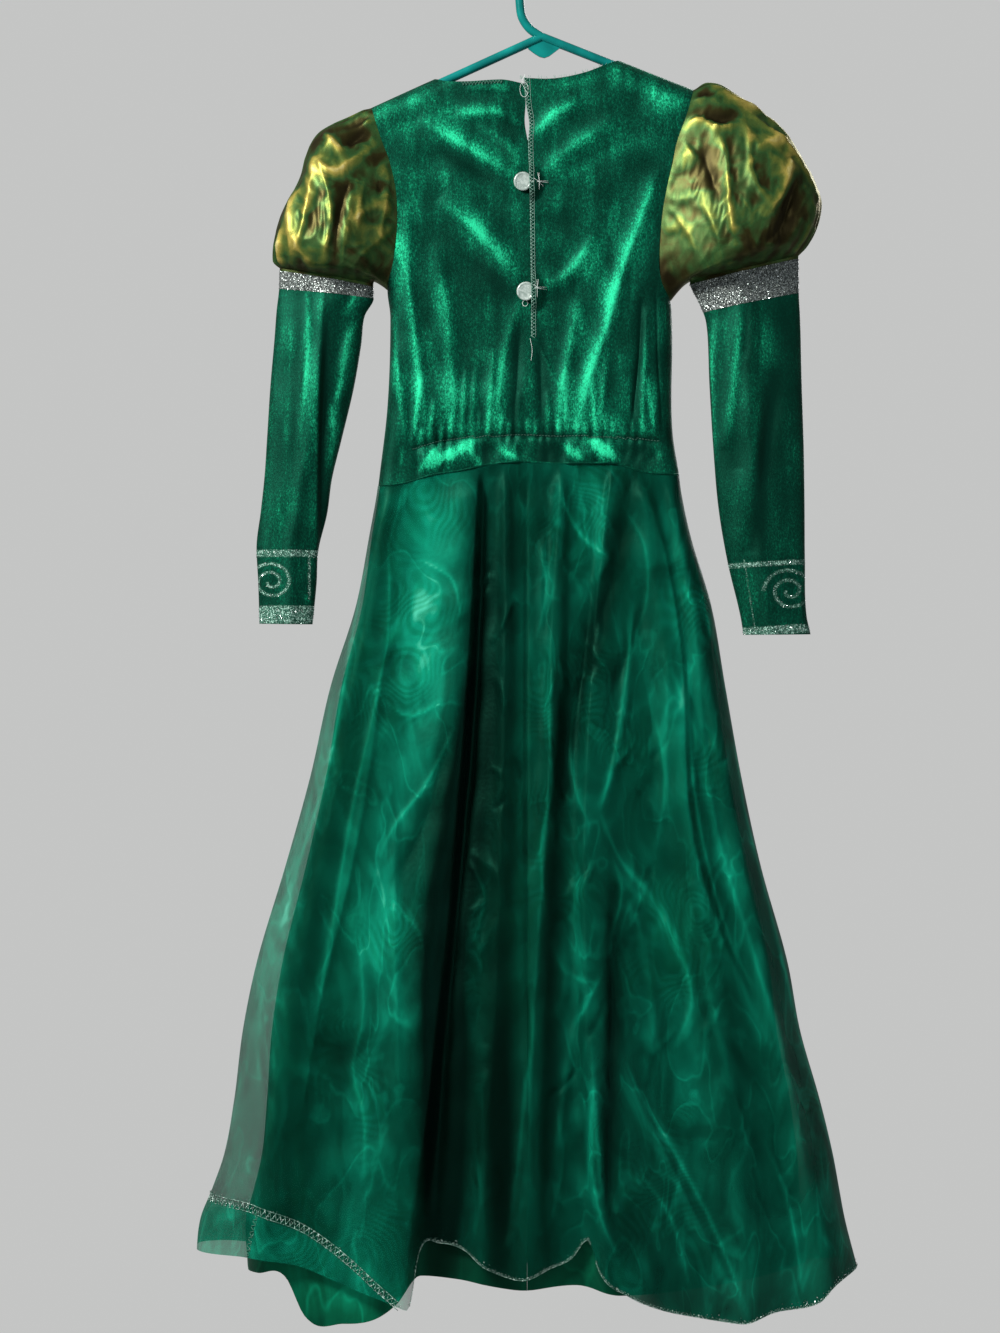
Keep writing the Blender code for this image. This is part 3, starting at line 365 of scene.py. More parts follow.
satin, tree, shader, mm = start_material("satin_lining")
colour = fold_tone(tree, mm, [(0.0, "#011B12"), (0.3, "#023A28"), (0.5, "#04543A"), (0.75, "#088562"),
                              (1.0, "#22B086")], "#010A07", 0.02)
creased = noise(tree, mm, 0.05, Detail=5.0, Distortion=0.5)
set_shader(tree, shader, Base_Color=colour, Normal=bump(tree, creased, 0.35, 0.003), Roughness=0.45,
       Specular_IOR_Level=0.35, Specular_Tint="#54E0A8")
print("organza and satin made")

# %% [markdown]
# The glitter ribbon is grey ground with flakes of mirror foil. The ground is a dull metal whose
# grains tilt at random, cell by cell. Some flakes are real small plates, scattered further down.
# The sewing threads are spun polyester, and the hem thread has a metal filament in it.


# %% Ribbon, thread, plastic and pearl
def make_sparkle(name, dark, mid, light, cells, metallic, tilt):
    material, tree, shader, mm = start_material(name)
    grains = add(tree, "ShaderNodeTexVoronoi", Vector=mm, Scale=cells).outputs["Color"]
    tone = ramp(tree, grains, [(0.25, dark), (0.55, mid), (0.8, light)])
    own = add(tree, "ShaderNodeNewGeometry").outputs["Normal"]
    lean = add(tree, "ShaderNodeVectorMath", {"operation": "SUBTRACT"}, _0=grains, _1=(0.5, 0.5, 0.5))
    lean = add(tree, "ShaderNodeVectorMath", {"operation": "SCALE"}, _0=lean, Scale=tilt)
    leant = add(tree, "ShaderNodeVectorMath", {"operation": "ADD"}, _0=own, _1=lean)
    leant = add(tree, "ShaderNodeVectorMath", {"operation": "NORMALIZE"}, _0=leant)
    set_shader(tree, shader, Base_Color=tone, Normal=leant, Metallic=metallic, Roughness=0.32)
    return material


def make_thread(name, dark, light):
    material, tree, shader, mm = start_material(name)
    tone = ramp(tree, noise(tree, mm, 3.0, Detail=1.0), [(0.35, dark), (0.65, light)])
    set_shader(tree, shader, Base_Color=tone, Roughness=0.6, Sheen_Weight=0.3)
    return material


ribbon = make_sparkle("silver_glitter_ribbon", "#2B302F", "#5C6462", "#A9B3B0", 1.6, 0.5, 0.9)
flake_foil = make_sparkle("mirror_foil_flakes", "#46524E", "#7C8A85", "#F4FBF8", 0.8, 1.0, 0.2)
metal_thread = make_sparkle("metallic_hem_thread", "#1F4A3C", "#5E8A7A", "#DDF5EC", 1.1, 0.4, 0.6)
overlock_thread = make_thread("spun_overlock_thread", "#2C6A57", "#8DB3A6")
dark_thread = make_thread("spun_dark_green_thread", "#0F4A3A", "#2B6E5A")
white_thread = make_thread("spun_white_thread", "#B9CFC8", "#F2F8F5")

plastic, tree, shader, mm = start_material("moulded_teal_polypropylene")
tone = ramp(tree, noise(tree, mm, 0.05, Detail=2.0), [(0.35, "#076461"), (0.65, "#0C7C77")])
orange_peel = noise(tree, mm, 0.6, Detail=2.0)
set_shader(tree, shader, Base_Color=tone, Normal=bump(tree, orange_peel, 0.08, 0.0005), Roughness=0.24,
       IOR=1.49, Specular_Tint="#9FEFE8")

pearl, tree, shader, mm = start_material("pearl_polyester")
cloud = noise(tree, mm, 0.25, Detail=3.0, Distortion=2.0)
tone = ramp(tree, cloud, [(0.3, "#7C8C86"), (0.55, "#9DABA6"), (0.75, "#BEC9C4")])
set_shader(tree, shader, Base_Color=tone, Roughness=0.28, Coat_Weight=0.6, Coat_Roughness=0.1)
print("finishes:", len(bpy.data.materials))

# %% [markdown]
# The lines of the pattern come next: neck, armholes, seams and hems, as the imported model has
# them, in millimetres. A smooth curve runs through each list of points.

# %% Lines of the pattern
SHOULDER_RISE = 5.2
SEAM_GAP = 0.12
JOINT_Z = -72.2
ARM_SLOPE_LEFT, ARM_SLOPE_RIGHT = 0.456, 0.396
BAR_Z, BAR_SLOPE = -166.0, 0.0253
NECK_LEFT_X, NECK_RIGHT_X = -91.0, 65.5
UNDERARM_LEFT_Z, UNDERARM_RIGHT_Z = -287.3, -297.0
ARMHOLE_SPREAD = 0.5
KEYHOLE_TOP, KEYHOLE_BOTTOM, KEYHOLE_WIDTH = -128.0, -166.0, 3.6
GATHER_LEFT_X, GATHER_RIGHT_X = -112.0, 104.0
HEM_LEVEL, SKIRT_TOP, SKIRT_RAMP = -1100.0, -440.0, 26.0

Point = namedtuple("Point", "x z")
Edge = namedtuple("Edge", "z left right")
Fold = namedtuple("Fold", "top middle hem rise_top rise_hem left right")
Ridge = namedtuple("Ridge", "rise near far path")
Level = namedtuple("Level", "z x_out x_in drop near far")


def line(*pairs):
    return [Point(*pair) for pair in pairs]


CENTRE_BACK = line((-15.3, -109), (-12, -165), (-9.4, -330), (-12.8, -435))
BACK_NECK_LEFT = line((-91, -109), (-82, -111.4), (-66, -111.9), (-35, -110.3), (-15.3, -113.9))
BACK_NECK_RIGHT = line((-15.3, -109), (2.6, -109.6), (19.6, -108), (39, -103.3), (54, -97.5), (65.5, -93))
FRONT_NECK = line((-91, -108.5), (-76, -136), (-48, -153), (-13, -158), (22, -149), (50, -124), (65.5, -93))
OUTER_LEFT = line(
    (-144.5, -134), (-137, -159), (-129.5, -179), (-124.3, -201), (-122.5, -228), (-126, -264),
    (-130.9, -287.3), (-128.4, -311), (-130.9, -387), (-137.7, -446), (-139.4, -460))
OUTER_RIGHT = line(
    (128.4, -118.5), (122.4, -140), (114.5, -162), (109.5, -183), (105, -204), (101, -231), (99, -264),
    (101.5, -283), (108.5, -297), (109.8, -311), (110.6, -409), (116.2, -445), (118.5, -460))
ELASTIC = line((-139, -431), (-108, -422), (-69, -414), (-12, -411.5), (56, -413), (118, -417))
WAIST = line(
    (-139.4, -454), (-115, -451.5), (-92, -444.5), (-69, -441), (-46, -436), (-18, -433.5), (13, -435),
    (55, -434.5), (88, -442.5), (116.5, -444.5))
FRONT_WAIST = line((-139.4, -454), (-12, -444), (116.5, -444.5))
BODICE_DEPTH = [(-460, 12), (-430, 12), (-380, 14), (-230, 15), (-100, 13)]
OVERLAY_EDGES = [
    Edge(-435, -137.5, 115.5), Edge(-455, -139.4, 117.5), Edge(-494, -146.2, 125.5),
    Edge(-556, -158, 143.7), Edge(-624, -179.4, 155.5), Edge(-700, -196.5, 169),
    Edge(-776, -217.6, 185.5), Edge(-859, -242.3, 208.5), Edge(-916, -254, 219),
    Edge(-976, -261.5, 236), Edge(-1022, -270, 247), Edge(-1052, -280.5, 252.5),
    Edge(-1076, -290, 257), Edge(-1115, -294, 267)]
LINING_INSET = [
    Edge(-435, 1.45, 1.45), Edge(-500, 2.5, 2.5), Edge(-600, 8, 7), Edge(-860, 22, 16),
    Edge(-1000, 30, 28), Edge(-1160, 50, 48)]
SKIRT_DEPTH = [(-1160, 36), (-1000, 33), (-700, 22), (-520, 14), (-435, 12)]
LINING_DROP = [(-1160, 9), (-900, 8), (-600, 5), (-500, 2.6), (-460, 1.5), (-435, 1.45)]
BACK_FOLDS = [
    Fold(-124, -196, -232, 4, 11, 15, 22), Fold(-55, -76, -114, 8, 19, 60, 8),
    Fold(-31, -34, -50, 4, 9, 12, 14), Fold(17, 6, -11, 6, 11, 15, 14),
    Fold(60, 36, 54, 6, 16, 9, 46), Fold(84, 128, 176, 6, 12, 22, 20),
    Fold(106, 168, 238, 4, 9, 14, 14)]
FRONT_FOLDS = [
    Fold(-104, -150, -205, 4, 12, 24, 24), Fold(-62, -92, -122, 5, 15, 26, 22),
    Fold(-20, -30, -36, 4, 12, 22, 24), Fold(26, 34, 44, 5, 15, 24, 22),
    Fold(66, 92, 122, 4, 13, 22, 26), Fold(96, 142, 196, 4, 11, 22, 22)]
LINING_SHARE = 0.45
HEM_TURNED_UP = -1062.0
BACK_HEM = line(
    (-284.8, -1056), (-243, -1063.5), (-200, -1080.5), (-163, -1106), (-132, -1133), (-113, -1146),
    (-104, -1100), (-86, -1093), (-65, -1099), (-48, -1113), (-18, -1123), (5, -1114.5), (24, -1106),
    (39, -1090), (47, -1115), (70, -1135), (97, -1147.5), (124, -1154), (165, -1159), (189, -1151),
    (230, -1141), (240, -1130), (266, -1115))
TURNED_UP_TO_X = -113.0
FOLDED_HEM = line(
    (-292.7, -1101.7), (-248.4, -1104), (-206, -1110.7), (-172.9, -1123.7), (-148.9, -1133),
    (-124, -1142)) + [point for point in BACK_HEM if point.x >= TURNED_UP_TO_X]
FRONT_HEM = line(
    (-293, -1100), (-241, -1104.5), (-200, -1112), (-100, -1124), (0, -1118), (110, -1126), (266, -1115))
LINING_BACK_HEM = line(
    (-243, -1119), (-218, -1122), (-206, -1154), (-172, -1161), (-145, -1157), (-125, -1144),
    (-104, -1121), (-72, -1124), (-18, -1133), (28, -1129), (66, -1137), (140, -1130), (218, -1112))
LINING_FRONT_HEM = line((-243, -1119), (-120, -1128), (0, -1122), (110, -1127), (218, -1112))


def curve(pairs):
    """A smooth curve value(key) through (key, value) pairs, level at each turn."""
    pairs = sorted(pairs)
    keys = np.array([pair[0] for pair in pairs], float)
    values = np.array([pair[1] for pair in pairs], float)
    slopes = np.diff(values) / np.diff(keys)
    tangents = np.concatenate([slopes[:1], (slopes[:-1] + slopes[1:]) / 2, slopes[-1:]])
    turns = np.concatenate([[False], slopes[:-1] * slopes[1:] < 0, [False]])
    tangents[turns] = 0.0

    def at(key):
        key = np.clip(key, keys[0], keys[-1])
        low = np.clip(np.searchsorted(keys, key, side="right") - 1, 0, len(keys) - 2)
        span = keys[low + 1] - keys[low]
        t = (key - keys[low]) / span
        ends = values[low] * (1 + 2 * t) * (1 - t) ** 2 + values[low + 1] * t * t * (3 - 2 * t)
        return ends + span * t * (1 - t) * ((1 - t) * tangents[low] - t * tangents[low + 1])

    return at


def across(points):
    return curve([(point.x, point.z) for point in points])


def along(points):
    return curve([(point.z, point.x) for point in points])


def column(rows, key, value):
    return curve([(getattr(row, key), getattr(row, value)) for row in rows])


def mix(a, b, share):
    return a + (b - a) * share


def smooth_step(value):
    t = np.clip(value, 0.0, 1.0)
    return t * t * (3 - 2 * t)


def bell(value, width):
    """1 at zero, falling off smoothly to both sides."""
    return np.exp(-(value / width) ** 2)


def rounded(distance, radius):
    """A quarter circle: 0 at an edge, and 1 from one radius inward."""
    t = np.clip(distance / radius, 0.0, 1.0)
    return np.sqrt(np.maximum(0.0, 1 - (1 - t) ** 2))


centre_back, outer_left, outer_right = along(CENTRE_BACK), along(OUTER_LEFT), along(OUTER_RIGHT)
elastic, waist, front_waist = across(ELASTIC), across(WAIST), across(FRONT_WAIST)
bodice_half_depth, skirt_half_depth = curve(BODICE_DEPTH), curve(SKIRT_DEPTH)
overlay_left, overlay_right = column(OVERLAY_EDGES, "z", "left"), column(OVERLAY_EDGES, "z", "right")
inset_left, inset_right = column(LINING_INSET, "z", "left"), column(LINING_INSET, "z", "right")
lining_drop = curve(LINING_DROP)
print("pattern lines ready")

# %% [markdown]
# Cloth is a height above a flat plan: for each x and z, how far the surface stands out. Big folds
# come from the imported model. Finer ones are ridges: a path on the plan, a rise, and a width to
# each side of the path. A negative rise is a valley. A narrow width on one side gives a fold
# that drops off sharply there.


# %% Ridges and valleys
TAPER_POWER = 0.6


def smooth_path(points, count=14):
    """More points on a smooth line through a few."""
    points = np.array(points, float)
    steps = np.concatenate([[0.0], np.cumsum(np.hypot(*np.diff(points, axis=0).T))])
    share = np.linspace(0.0, steps[-1], count)
    if len(points) == 2:
        return np.stack([np.interp(share, steps, points[:, k]) for k in (0, 1)], axis=-1)
    return np.stack([curve(list(zip(steps, points[:, k])))(share) for k in (0, 1)], axis=-1)


def ridges(table, x, z, power=2.0):
    """How far the ridges of a table push the cloth out; their paths are in photo pixels."""
    x, z = np.broadcast_arrays(x, z)
    total = np.zeros(x.shape)
    for ridge in table:
        path = smooth_path([from_photo(*pixel) for pixel in ridge.path])
        reach = 3 * max(ridge.near, ridge.far)
        low, high = path.min(axis=0) - reach, path.max(axis=0) + reach
        close = (x > low[0]) & (x < high[0]) & (z > low[1]) & (z < high[1])
        if not close.any():
            continue
        px, pz = x[close], z[close]
        best = np.full(px.shape, np.inf)
        side = np.zeros(px.shape)
        share = np.zeros(px.shape)
        for k, (start, stop) in enumerate(zip(path, path[1:])):
            step = stop - start
            t = np.clip(((px - start[0]) * step[0] + (pz - start[1]) * step[1]) / (step @ step), 0, 1)
            dx, dz = px - start[0] - t * step[0], pz - start[1] - t * step[1]
            distance = np.hypot(dx, dz)
            nearer = distance < best
            best = np.where(nearer, distance, best)
            side = np.where(nearer, step[0] * dz - step[1] * dx, side)
            share = np.where(nearer, (k + t) / (len(path) - 1), share)
        width = np.where(side > 0, ridge.far, ridge.near)
        taper = np.sin(np.pi * share) ** TAPER_POWER
        total[close] += ridge.rise * taper * np.exp(-(best / width) ** power)
    return total


def folds(table, x, z):
    """How far the skirt's big folds push the cloth out; they open out towards the hem."""
    share = np.clip((SKIRT_TOP - z) / (SKIRT_TOP - HEM_LEVEL), 0.0, 1.0)
    total = 0.0
    for fold in table:
        bend = 2 * share * (1 - share) * (2 * fold.middle - (fold.top + fold.hem) / 2)
        crest = fold.top * (1 - share) ** 2 + bend + fold.hem * share ** 2
        width = np.where(x < crest, fold.left, fold.right) * mix(0.4, 1.0, share)
        rise = mix(fold.rise_top, fold.rise_hem, share)
        total = total + rise * bell(x - crest, width)
    return total * smooth_step((waist(x) - z) / SKIRT_RAMP)


def soft_noise(x, z, size, seed, count=24):
    """Smooth uneven waves of about one size, from -1 to 1, the same at each run."""
    rng = np.random.default_rng(seed)
    angle, phase = rng.uniform(0, math.pi, count), rng.uniform(0, 2 * math.pi, count)
    rate = 2 * math.pi / (size * rng.uniform(0.7, 1.6, count))
    total = 0.0
    for a, p, r in zip(angle, phase, rate):
        total = total + np.sin(r * (x * math.cos(a) + z * math.sin(a)) + p)
    return total / math.sqrt(count)


print("shape functions ready")

# %% [markdown]
# A cloth wall is two copies of one grid of points, half a thickness to each side of it, closed at
# the rims. That gives the hems a real edge, and it makes a closed mesh. At a rim that meets the
# other half of the gown, the wall stands square to the seam. Each wall gets its attributes for
# the finishes. The thicknesses are in millimetres, and the cut sizes in metres.

# %% Walls of cloth
RIM_REACH = 0.35
BAND_CUT = {"left": (0.165, 0.0155), "right": (0.195, 0.028)}
VELVET, LAME, RIBBON, ORGANZA, SATIN = 1.0, 0.7, 1.0, 0.5, 0.6
surfaces = {}


def grid_normals(grid, closed):
    ring = np.concatenate([grid, grid[:, :1]], axis=1) if closed else grid
    a, b, c, d = ring[:-1, :-1], ring[:-1, 1:], ring[1:, 1:], ring[1:, :-1]
    face = np.cross(c - a, d - b)
    face /= np.maximum(np.linalg.norm(face, axis=-1, keepdims=True), 1e-9)
    total = np.zeros_like(ring)
    for rows in (slice(None, -1), slice(1, None)):
        for columns in (slice(None, -1), slice(1, None)):
            total[rows, columns] += face
    if closed:
        total[:, 0] += total[:, -1]
        total = total[:, :-1]
    return total / np.maximum(np.linalg.norm(total, axis=-1, keepdims=True), 1e-9)


def grid_faces(grid, closed):
    """The point numbers of a grid, and its four-sided faces."""
    rows, columns = grid.shape[:2]
    index = np.arange(rows * columns).reshape(rows, columns)
    if closed:
        index = np.concatenate([index, index[:, :1]], axis=1)
    corners = index[:-1, :-1], index[:-1, 1:], index[1:, 1:], index[1:, :-1]
    return index, np.stack(corners, axis=-1).reshape(-1, 4)


def mesh_in_mm(name, points, edges, faces):
    """A mesh in metres from points in millimetres."""
    mesh = bpy.data.meshes.new(name)
    mesh.from_pydata((np.asarray(points) * MM).tolist(), edges, faces)
    mesh.update()
    return mesh


def mark(mesh, word, values):
    """Give each point of a mesh its value of an attribute."""
    layer = mesh.attributes.new(word, "FLOAT", "POINT")
    layer.data.foreach_set("value", np.asarray(values, np.float32).reshape(-1))


def belongs(item, node=None):
    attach(item, "root")
    if node:
        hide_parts(node)
    return item


def cloth(name, node, grid, thickness, material, marks, closed=False,
          level_rows=(), square_columns=()):
    normals = grid_normals(grid, closed)
    normals[np.abs(grid[..., 1]) < RIM_REACH, 1] = 0.0
    normals[:, list(square_columns), 0] = 0.0
    normals[list(level_rows), :, 2] = 0.0
    normals /= np.maximum(np.linalg.norm(normals, axis=-1, keepdims=True), 1e-9)
    index, outer = grid_faces(grid, closed)
    shift = grid.shape[0] * grid.shape[1]
    edges = [(index[0], 1), (index[-1], -1)]
    if not closed:
        edges += [(index[:, 0], -1), (index[:, -1], 1)]
    rims = [np.stack([edge[:-1], edge[:-1] + shift, edge[1:] + shift, edge[1:]], -1)[:, ::turn]
            for edge, turn in edges]
    faces = np.concatenate([outer, outer[:, ::-1] + shift, *rims])
    step = normals * thickness / 2
    points = np.concatenate([(grid + step).reshape(-1, 3), (grid - step).reshape(-1, 3)])
    corner = points[faces]
    volume = sum(np.einsum("ij,ij->i", corner[:, 0], np.cross(corner[:, k], corner[:, k + 1])).sum()
                 for k in (1, 2))
    if volume < 0:
        faces = faces[:, ::-1]
    mesh = mesh_in_mm(name, points, [], faces.tolist())
    mesh.materials.append(material)
    for word, value in marks.items():
        mark(mesh, word, np.tile(np.broadcast_to(value, grid.shape[:2]).reshape(-1), 2))
    mesh.shade_smooth()
    mesh.set_sharp_from_angle(angle=math.radians(60))
    item = belongs(in_scene(name, mesh), node)
    surfaces[name] = (grid, normals)
    shown_area = sum(face.area for face in mesh.polygons) / 2
    print(f"{name}: {len(faces)} faces, {shown_area:.4f} square metres")


def edge_columns(flat, turned, turn_share=0.1):
    """Places across a panel: even ones, then closer ones where it turns round to the side."""
    even = np.linspace(0.0, 1 - turn_share, flat, endpoint=False)
    angles = np.linspace(math.pi / 2, 0.0, turned)
    return np.concatenate([even, 1 - turn_share * (1 - np.cos(angles))])


def both_edge_columns(flat, turned):
    half = edge_columns(flat, turned) / 2
    return np.concatenate([0.5 - half[::-1], 0.5 + half[1:]])


def panel(columns, rows, start, stop, top, bottom):
    """The plan of a panel, x and z, between two upright lines and two edges."""
    share, drop = np.meshgrid(columns, rows)
    z = mix(top(share), bottom(share), drop)
    return mix(start(z), stop(z), share), z


def rows_close_at_top(close, even, close_share=0.05):
    """Places down a panel: close ones near its top edge, then even ones."""
    return np.unique(np.concatenate([np.linspace(0, close_share, close), np.linspace(close_share, 1, even)]))


def line_at(edge, start, stop, level, lift=0.0):
    """An edge as a function of the share of the way from one side line to the other."""
    def at(share):
        return edge(mix(start(level), stop(level), share)) + lift

    return at


def shoulder(x):
    slope = np.where(x < 0, ARM_SLOPE_LEFT, ARM_SLOPE_RIGHT)
    return JOINT_Z + SHOULDER_RISE - slope * np.abs(x)


def top_edge(neck):
    neck = across(neck)

    def at(x):
        return np.where((x > NECK_LEFT_X) & (x < NECK_RIGHT_X), neck(x), shoulder(x))

    return at


# %% [markdown]
# The back bodice is two velvet panels that meet at the centre back. Pulls run from the two
# buttons to the shoulders, long soft folds run down to the elastic, and the elastic line holds
# about twenty-five tight gathers. The paths below were measured on the photograph, from one end
# of each highlight to the other, and their relief also paints the crests lighter, as painted
# highlights. Two more tables change only the colour: shades are painted shade in hollows, and the
# pile lights are painted highlights, with a few painted darks, where the pile leans towards the light.

# %% Folds of the back bodice
BODICE_RIDGES = [
    Ridge(3.4, 9, 5, [(517, 181), (470, 151), (418, 121)]),
    Ridge(3.2, 7, 4, [(524, 131), (494, 114), (456, 117)]),
    Ridge(1.4, 3, 3, [(512, 92), (488, 90), (466, 91)]),
    Ridge(1.6, 5, 4, [(521, 168), (500, 140), (478, 128)]),
    Ridge(3.6, 10, 6, [(519, 285), (486, 241), (440, 200)]),
    Ridge(2.6, 6, 3.5, [(407, 205), (410, 290), (418, 360), (429, 446)]),
    Ridge(2.4, 8, 5, [(436, 245), (448, 320), (456, 446)]),
    Ridge(2.2, 4, 3, [(394, 310), (399, 380), (407, 450)]),
    Ridge(2.4, 5, 3, [(494, 350), (488, 446)]),
    Ridge(2.2, 6, 4, [(521, 300), (504, 360), (494, 446)]),
    Ridge(3.4, 7, 5, [(532, 140), (552, 118), (580, 102)]),
    Ridge(2.4, 8, 6, [(543, 175), (566, 154), (614, 122)]),
    Ridge(2.6, 6, 4, [(541, 290), (562, 280), (596, 236)]),
    Ridge(4.0, 8, 4, [(659, 172), (643, 213), (622, 272), (607, 328), (587, 387), (576, 446)]),
    Ridge(2.8, 6, 5, [(579, 300), (566, 366), (555, 446)]),
    Ridge(-3.2, 3, 3, [(641, 300), (638, 366), (629, 440)]),
    Ridge(2.2, 4, 3, [(646, 310), (643, 390), (640, 450)]),
    Ridge(1.2, 2, 2, [(532, 330), (546, 363), (562, 396)]),
    Ridge(2.4, 5, 3, [(607, 350), (598, 446)]),
    Ridge(-1.6, 1.6, 1.6, [(655, 286), (657, 360), (661, 436)]),
    Ridge(-1.8, 4, 4, [(520, 320), (517, 380), (514, 440)]),
    Ridge(-1.8, 4, 4, [(540, 340), (541, 440)]),
]
# Painted shade in hollows between the pouches, beside the pulls and along the folds.
BODICE_SHADES = [
    Ridge(0.9, 5, 5, [(486, 438), (486, 476)]), Ridge(0.85, 11, 13, [(543, 434), (543, 480)]),
    Ridge(0.6, 12, 14, [(640, 436), (642, 480)]), Ridge(0.45, 6, 7, [(538, 300), (541, 440)]),
    Ridge(0.35, 7, 7, [(519, 300), (516, 440)]), Ridge(0.4, 5, 5, [(640, 290), (636, 440)]),
    Ridge(0.4, 6, 8, [(392, 440), (398, 476)]), Ridge(0.28, 40, 36, [(478, 210), (486, 300), (492, 440)]),
    Ridge(0.3, 14, 24, [(552, 200), (556, 300), (560, 440)]), Ridge(0.5, 6, 6, [(452, 103), (506, 103)]),
    Ridge(0.55, 8, 4, [(498, 142), (511, 160), (517, 176)]),
    Ridge(0.5, 8, 4, [(470, 252), (500, 284), (515, 300)]),
    Ridge(0.4, 5, 10, [(672, 200), (655, 260), (648, 330)]),
]
GATHER_COUNT, GATHER_SPACING, GATHER_FOOT_ROW = 26, 9.7, 446
gather_rng = np.random.default_rng(7)
GATHERS = []
for k in range(GATHER_COUNT):
    foot = 412 + k * GATHER_SPACING + gather_rng.uniform(-2, 2)
    tall = gather_rng.choice([16, 26, 44, 70], p=[0.35, 0.3, 0.2, 0.15])
    lean = (foot - 535) * 0.0011 * tall
    foot_row = GATHER_FOOT_ROW - 10 * math.sin(math.pi * k / (GATHER_COUNT - 1))
    GATHERS.append(Ridge(gather_rng.uniform(1.0, 2.0), 2.2, 2.8,
                         [(foot - lean, foot_row - tall), (foot, foot_row + 2)]))
GATHER_PITCH, GATHER_REACH = 9.4, 9.0
BULGE_HEIGHT, BULGE_ABOVE, BULGE_WIDTH = 2.4, 30.0, 24.0
TUCK_DEPTH, TUCK_WIDTH = 2.0, 3.5
POUCH_BELOW, POUCH_WIDTH, FAN_PITCH = 14.0, 9.0, 13.0
POUCHES = [(-106, -54, 4.2), (-40, -17, 3.0), (18, 66, 4.2)]
# Painted highlights where the pile faces the light; the rows with a negative rise are painted shade.
PAINTED_PILE_LIGHTS = [
    Ridge(4.5, 5, 4, [(480, 438), (456, 452), (426, 470)]),
    Ridge(3.0, 3, 3, [(442, 440), (432, 456), (418, 474)]),
    Ridge(3.4, 3, 4, [(468, 444), (474, 456), (481, 470)]),
    Ridge(3.0, 3, 4, [(498, 446), (508, 455), (522, 460)]),
    Ridge(4.0, 4, 4, [(562, 442), (570, 452), (584, 460)]),
    Ridge(4.4, 5, 4, [(584, 438), (604, 450), (620, 462)]),
    Ridge(2.0, 2, 3, [(652, 444), (660, 460)]), Ridge(2.0, 2, 2, [(404, 446), (400, 470)]),
    Ridge(-2.0, 2, 2, [(447, 456), (440, 472)]), Ridge(-2.0, 2, 2, [(592, 452), (598, 468)]),
    Ridge(2.0, 8, 8, [(366, 122), (400, 108), (440, 94)]),
    Ridge(1.5, 8, 8, [(376, 138), (420, 124), (470, 106)]),
    Ridge(1.6, 7, 8, [(604, 78), (650, 94), (700, 112)]),
    Ridge(1.4, 5, 5, [(528, 88), (580, 84), (622, 70)]),
    Ridge(1.2, 5, 6, [(388, 190), (398, 250), (396, 300)]),
    Ridge(1.0, 6, 6, [(560, 186), (600, 160), (650, 140)]),
    Ridge(1.0, 5, 7, [(560, 330), (590, 268), (622, 208)]),
    Ridge(-2.2, 5, 4, [(500, 104), (510, 128), (516, 150)]),
    Ridge(-2.4, 4, 6, [(506, 190), (470, 170), (430, 146)]),
    Ridge(-1.6, 6, 8, [(516, 306), (478, 270), (440, 232)]),
    Ridge(-1.6, 5, 9, [(674, 184), (660, 240), (640, 300), (622, 360)]),
]


def bodice_depth(x, z):
    """How far the plain bodice stands out, rounded off to the shoulders and the sides."""
    depth = bodice_half_depth(z)
    side_left = outer_left(np.minimum(z, UNDERARM_LEFT_Z))
    side_left = side_left - ARMHOLE_SPREAD * np.maximum(0.0, z - UNDERARM_LEFT_Z)
    side_right = outer_right(np.minimum(z, UNDERARM_RIGHT_Z))
    side_right = side_right + ARMHOLE_SPREAD * np.maximum(0.0, z - UNDERARM_RIGHT_Z)
    below = (shoulder(x) - z) * math.cos(math.atan(ARM_SLOPE_LEFT))
    aside = np.minimum(x - side_left, side_right - x)
    return depth * rounded(below, depth) * rounded(aside, depth)


def elastic_shape(x, z):
    """The gathers on the elastic, and the bulges of velvet above and below them."""
    rise = z - elastic(x)
    inside = smooth_step((x - GATHER_LEFT_X) / 8) * smooth_step((GATHER_RIGHT_X - x) / 8)
    phase = 2 * math.pi * x / GATHER_PITCH + 0.02 * rise * np.sin(x / 21)
    phase = phase + 1.1 * np.sin(x / 13) + 0.9 * np.sin(x / 4.7)
    uneven = 0.55 + 0.5 * np.sin(x / 7.3 + 1.0) * np.sin(x / 17.0)
    ripples = np.cos(phase) * uneven * bell(rise, GATHER_REACH)
    bulge = BULGE_HEIGHT * bell(rise - BULGE_ABOVE, BULGE_WIDTH)
    tuck = -TUCK_DEPTH * bell(rise, TUCK_WIDTH)
    pouch = 0.0
    for low, high, height in POUCHES:
        pouch = pouch + height * smooth_step((x - low) / 6) * smooth_step((high - x) / 6)
    fanned_x = x - (x + 12) * 0.006 * (rise + 12)
    fan = np.cos(2 * math.pi * fanned_x / FAN_PITCH + 1.4 * np.sin(x / 11))
    below = (pouch - 1.2 + 0.3 * fan) * bell(rise + POUCH_BELOW, POUCH_WIDTH)
    return inside * (ripples + bulge + tuck), inside * below


def back_bodice(x, z):
    """Depth of the back bodice, and its relief with painted highlights and painted shade for the colour."""
    shape = bodice_depth(x, z)
    edge = smooth_step(shape / 8)
    relief = ridges(BODICE_RIDGES, x, z, 1.5) + ridges(GATHERS, x, z) + 0.35 * soft_noise(x, z, 34, 3)
    drawn_in, below = elastic_shape(x, z)
    # Painted light and shade: relief, part of the gathers and pouches, and the pile lights set how light or
    # dark the velvet is painted.
    lit = relief + 0.25 * drawn_in + 0.2 * below + ridges(PAINTED_PILE_LIGHTS, x, z, 1.5)
    return shape + edge * (relief + drawn_in + below), edge * lit


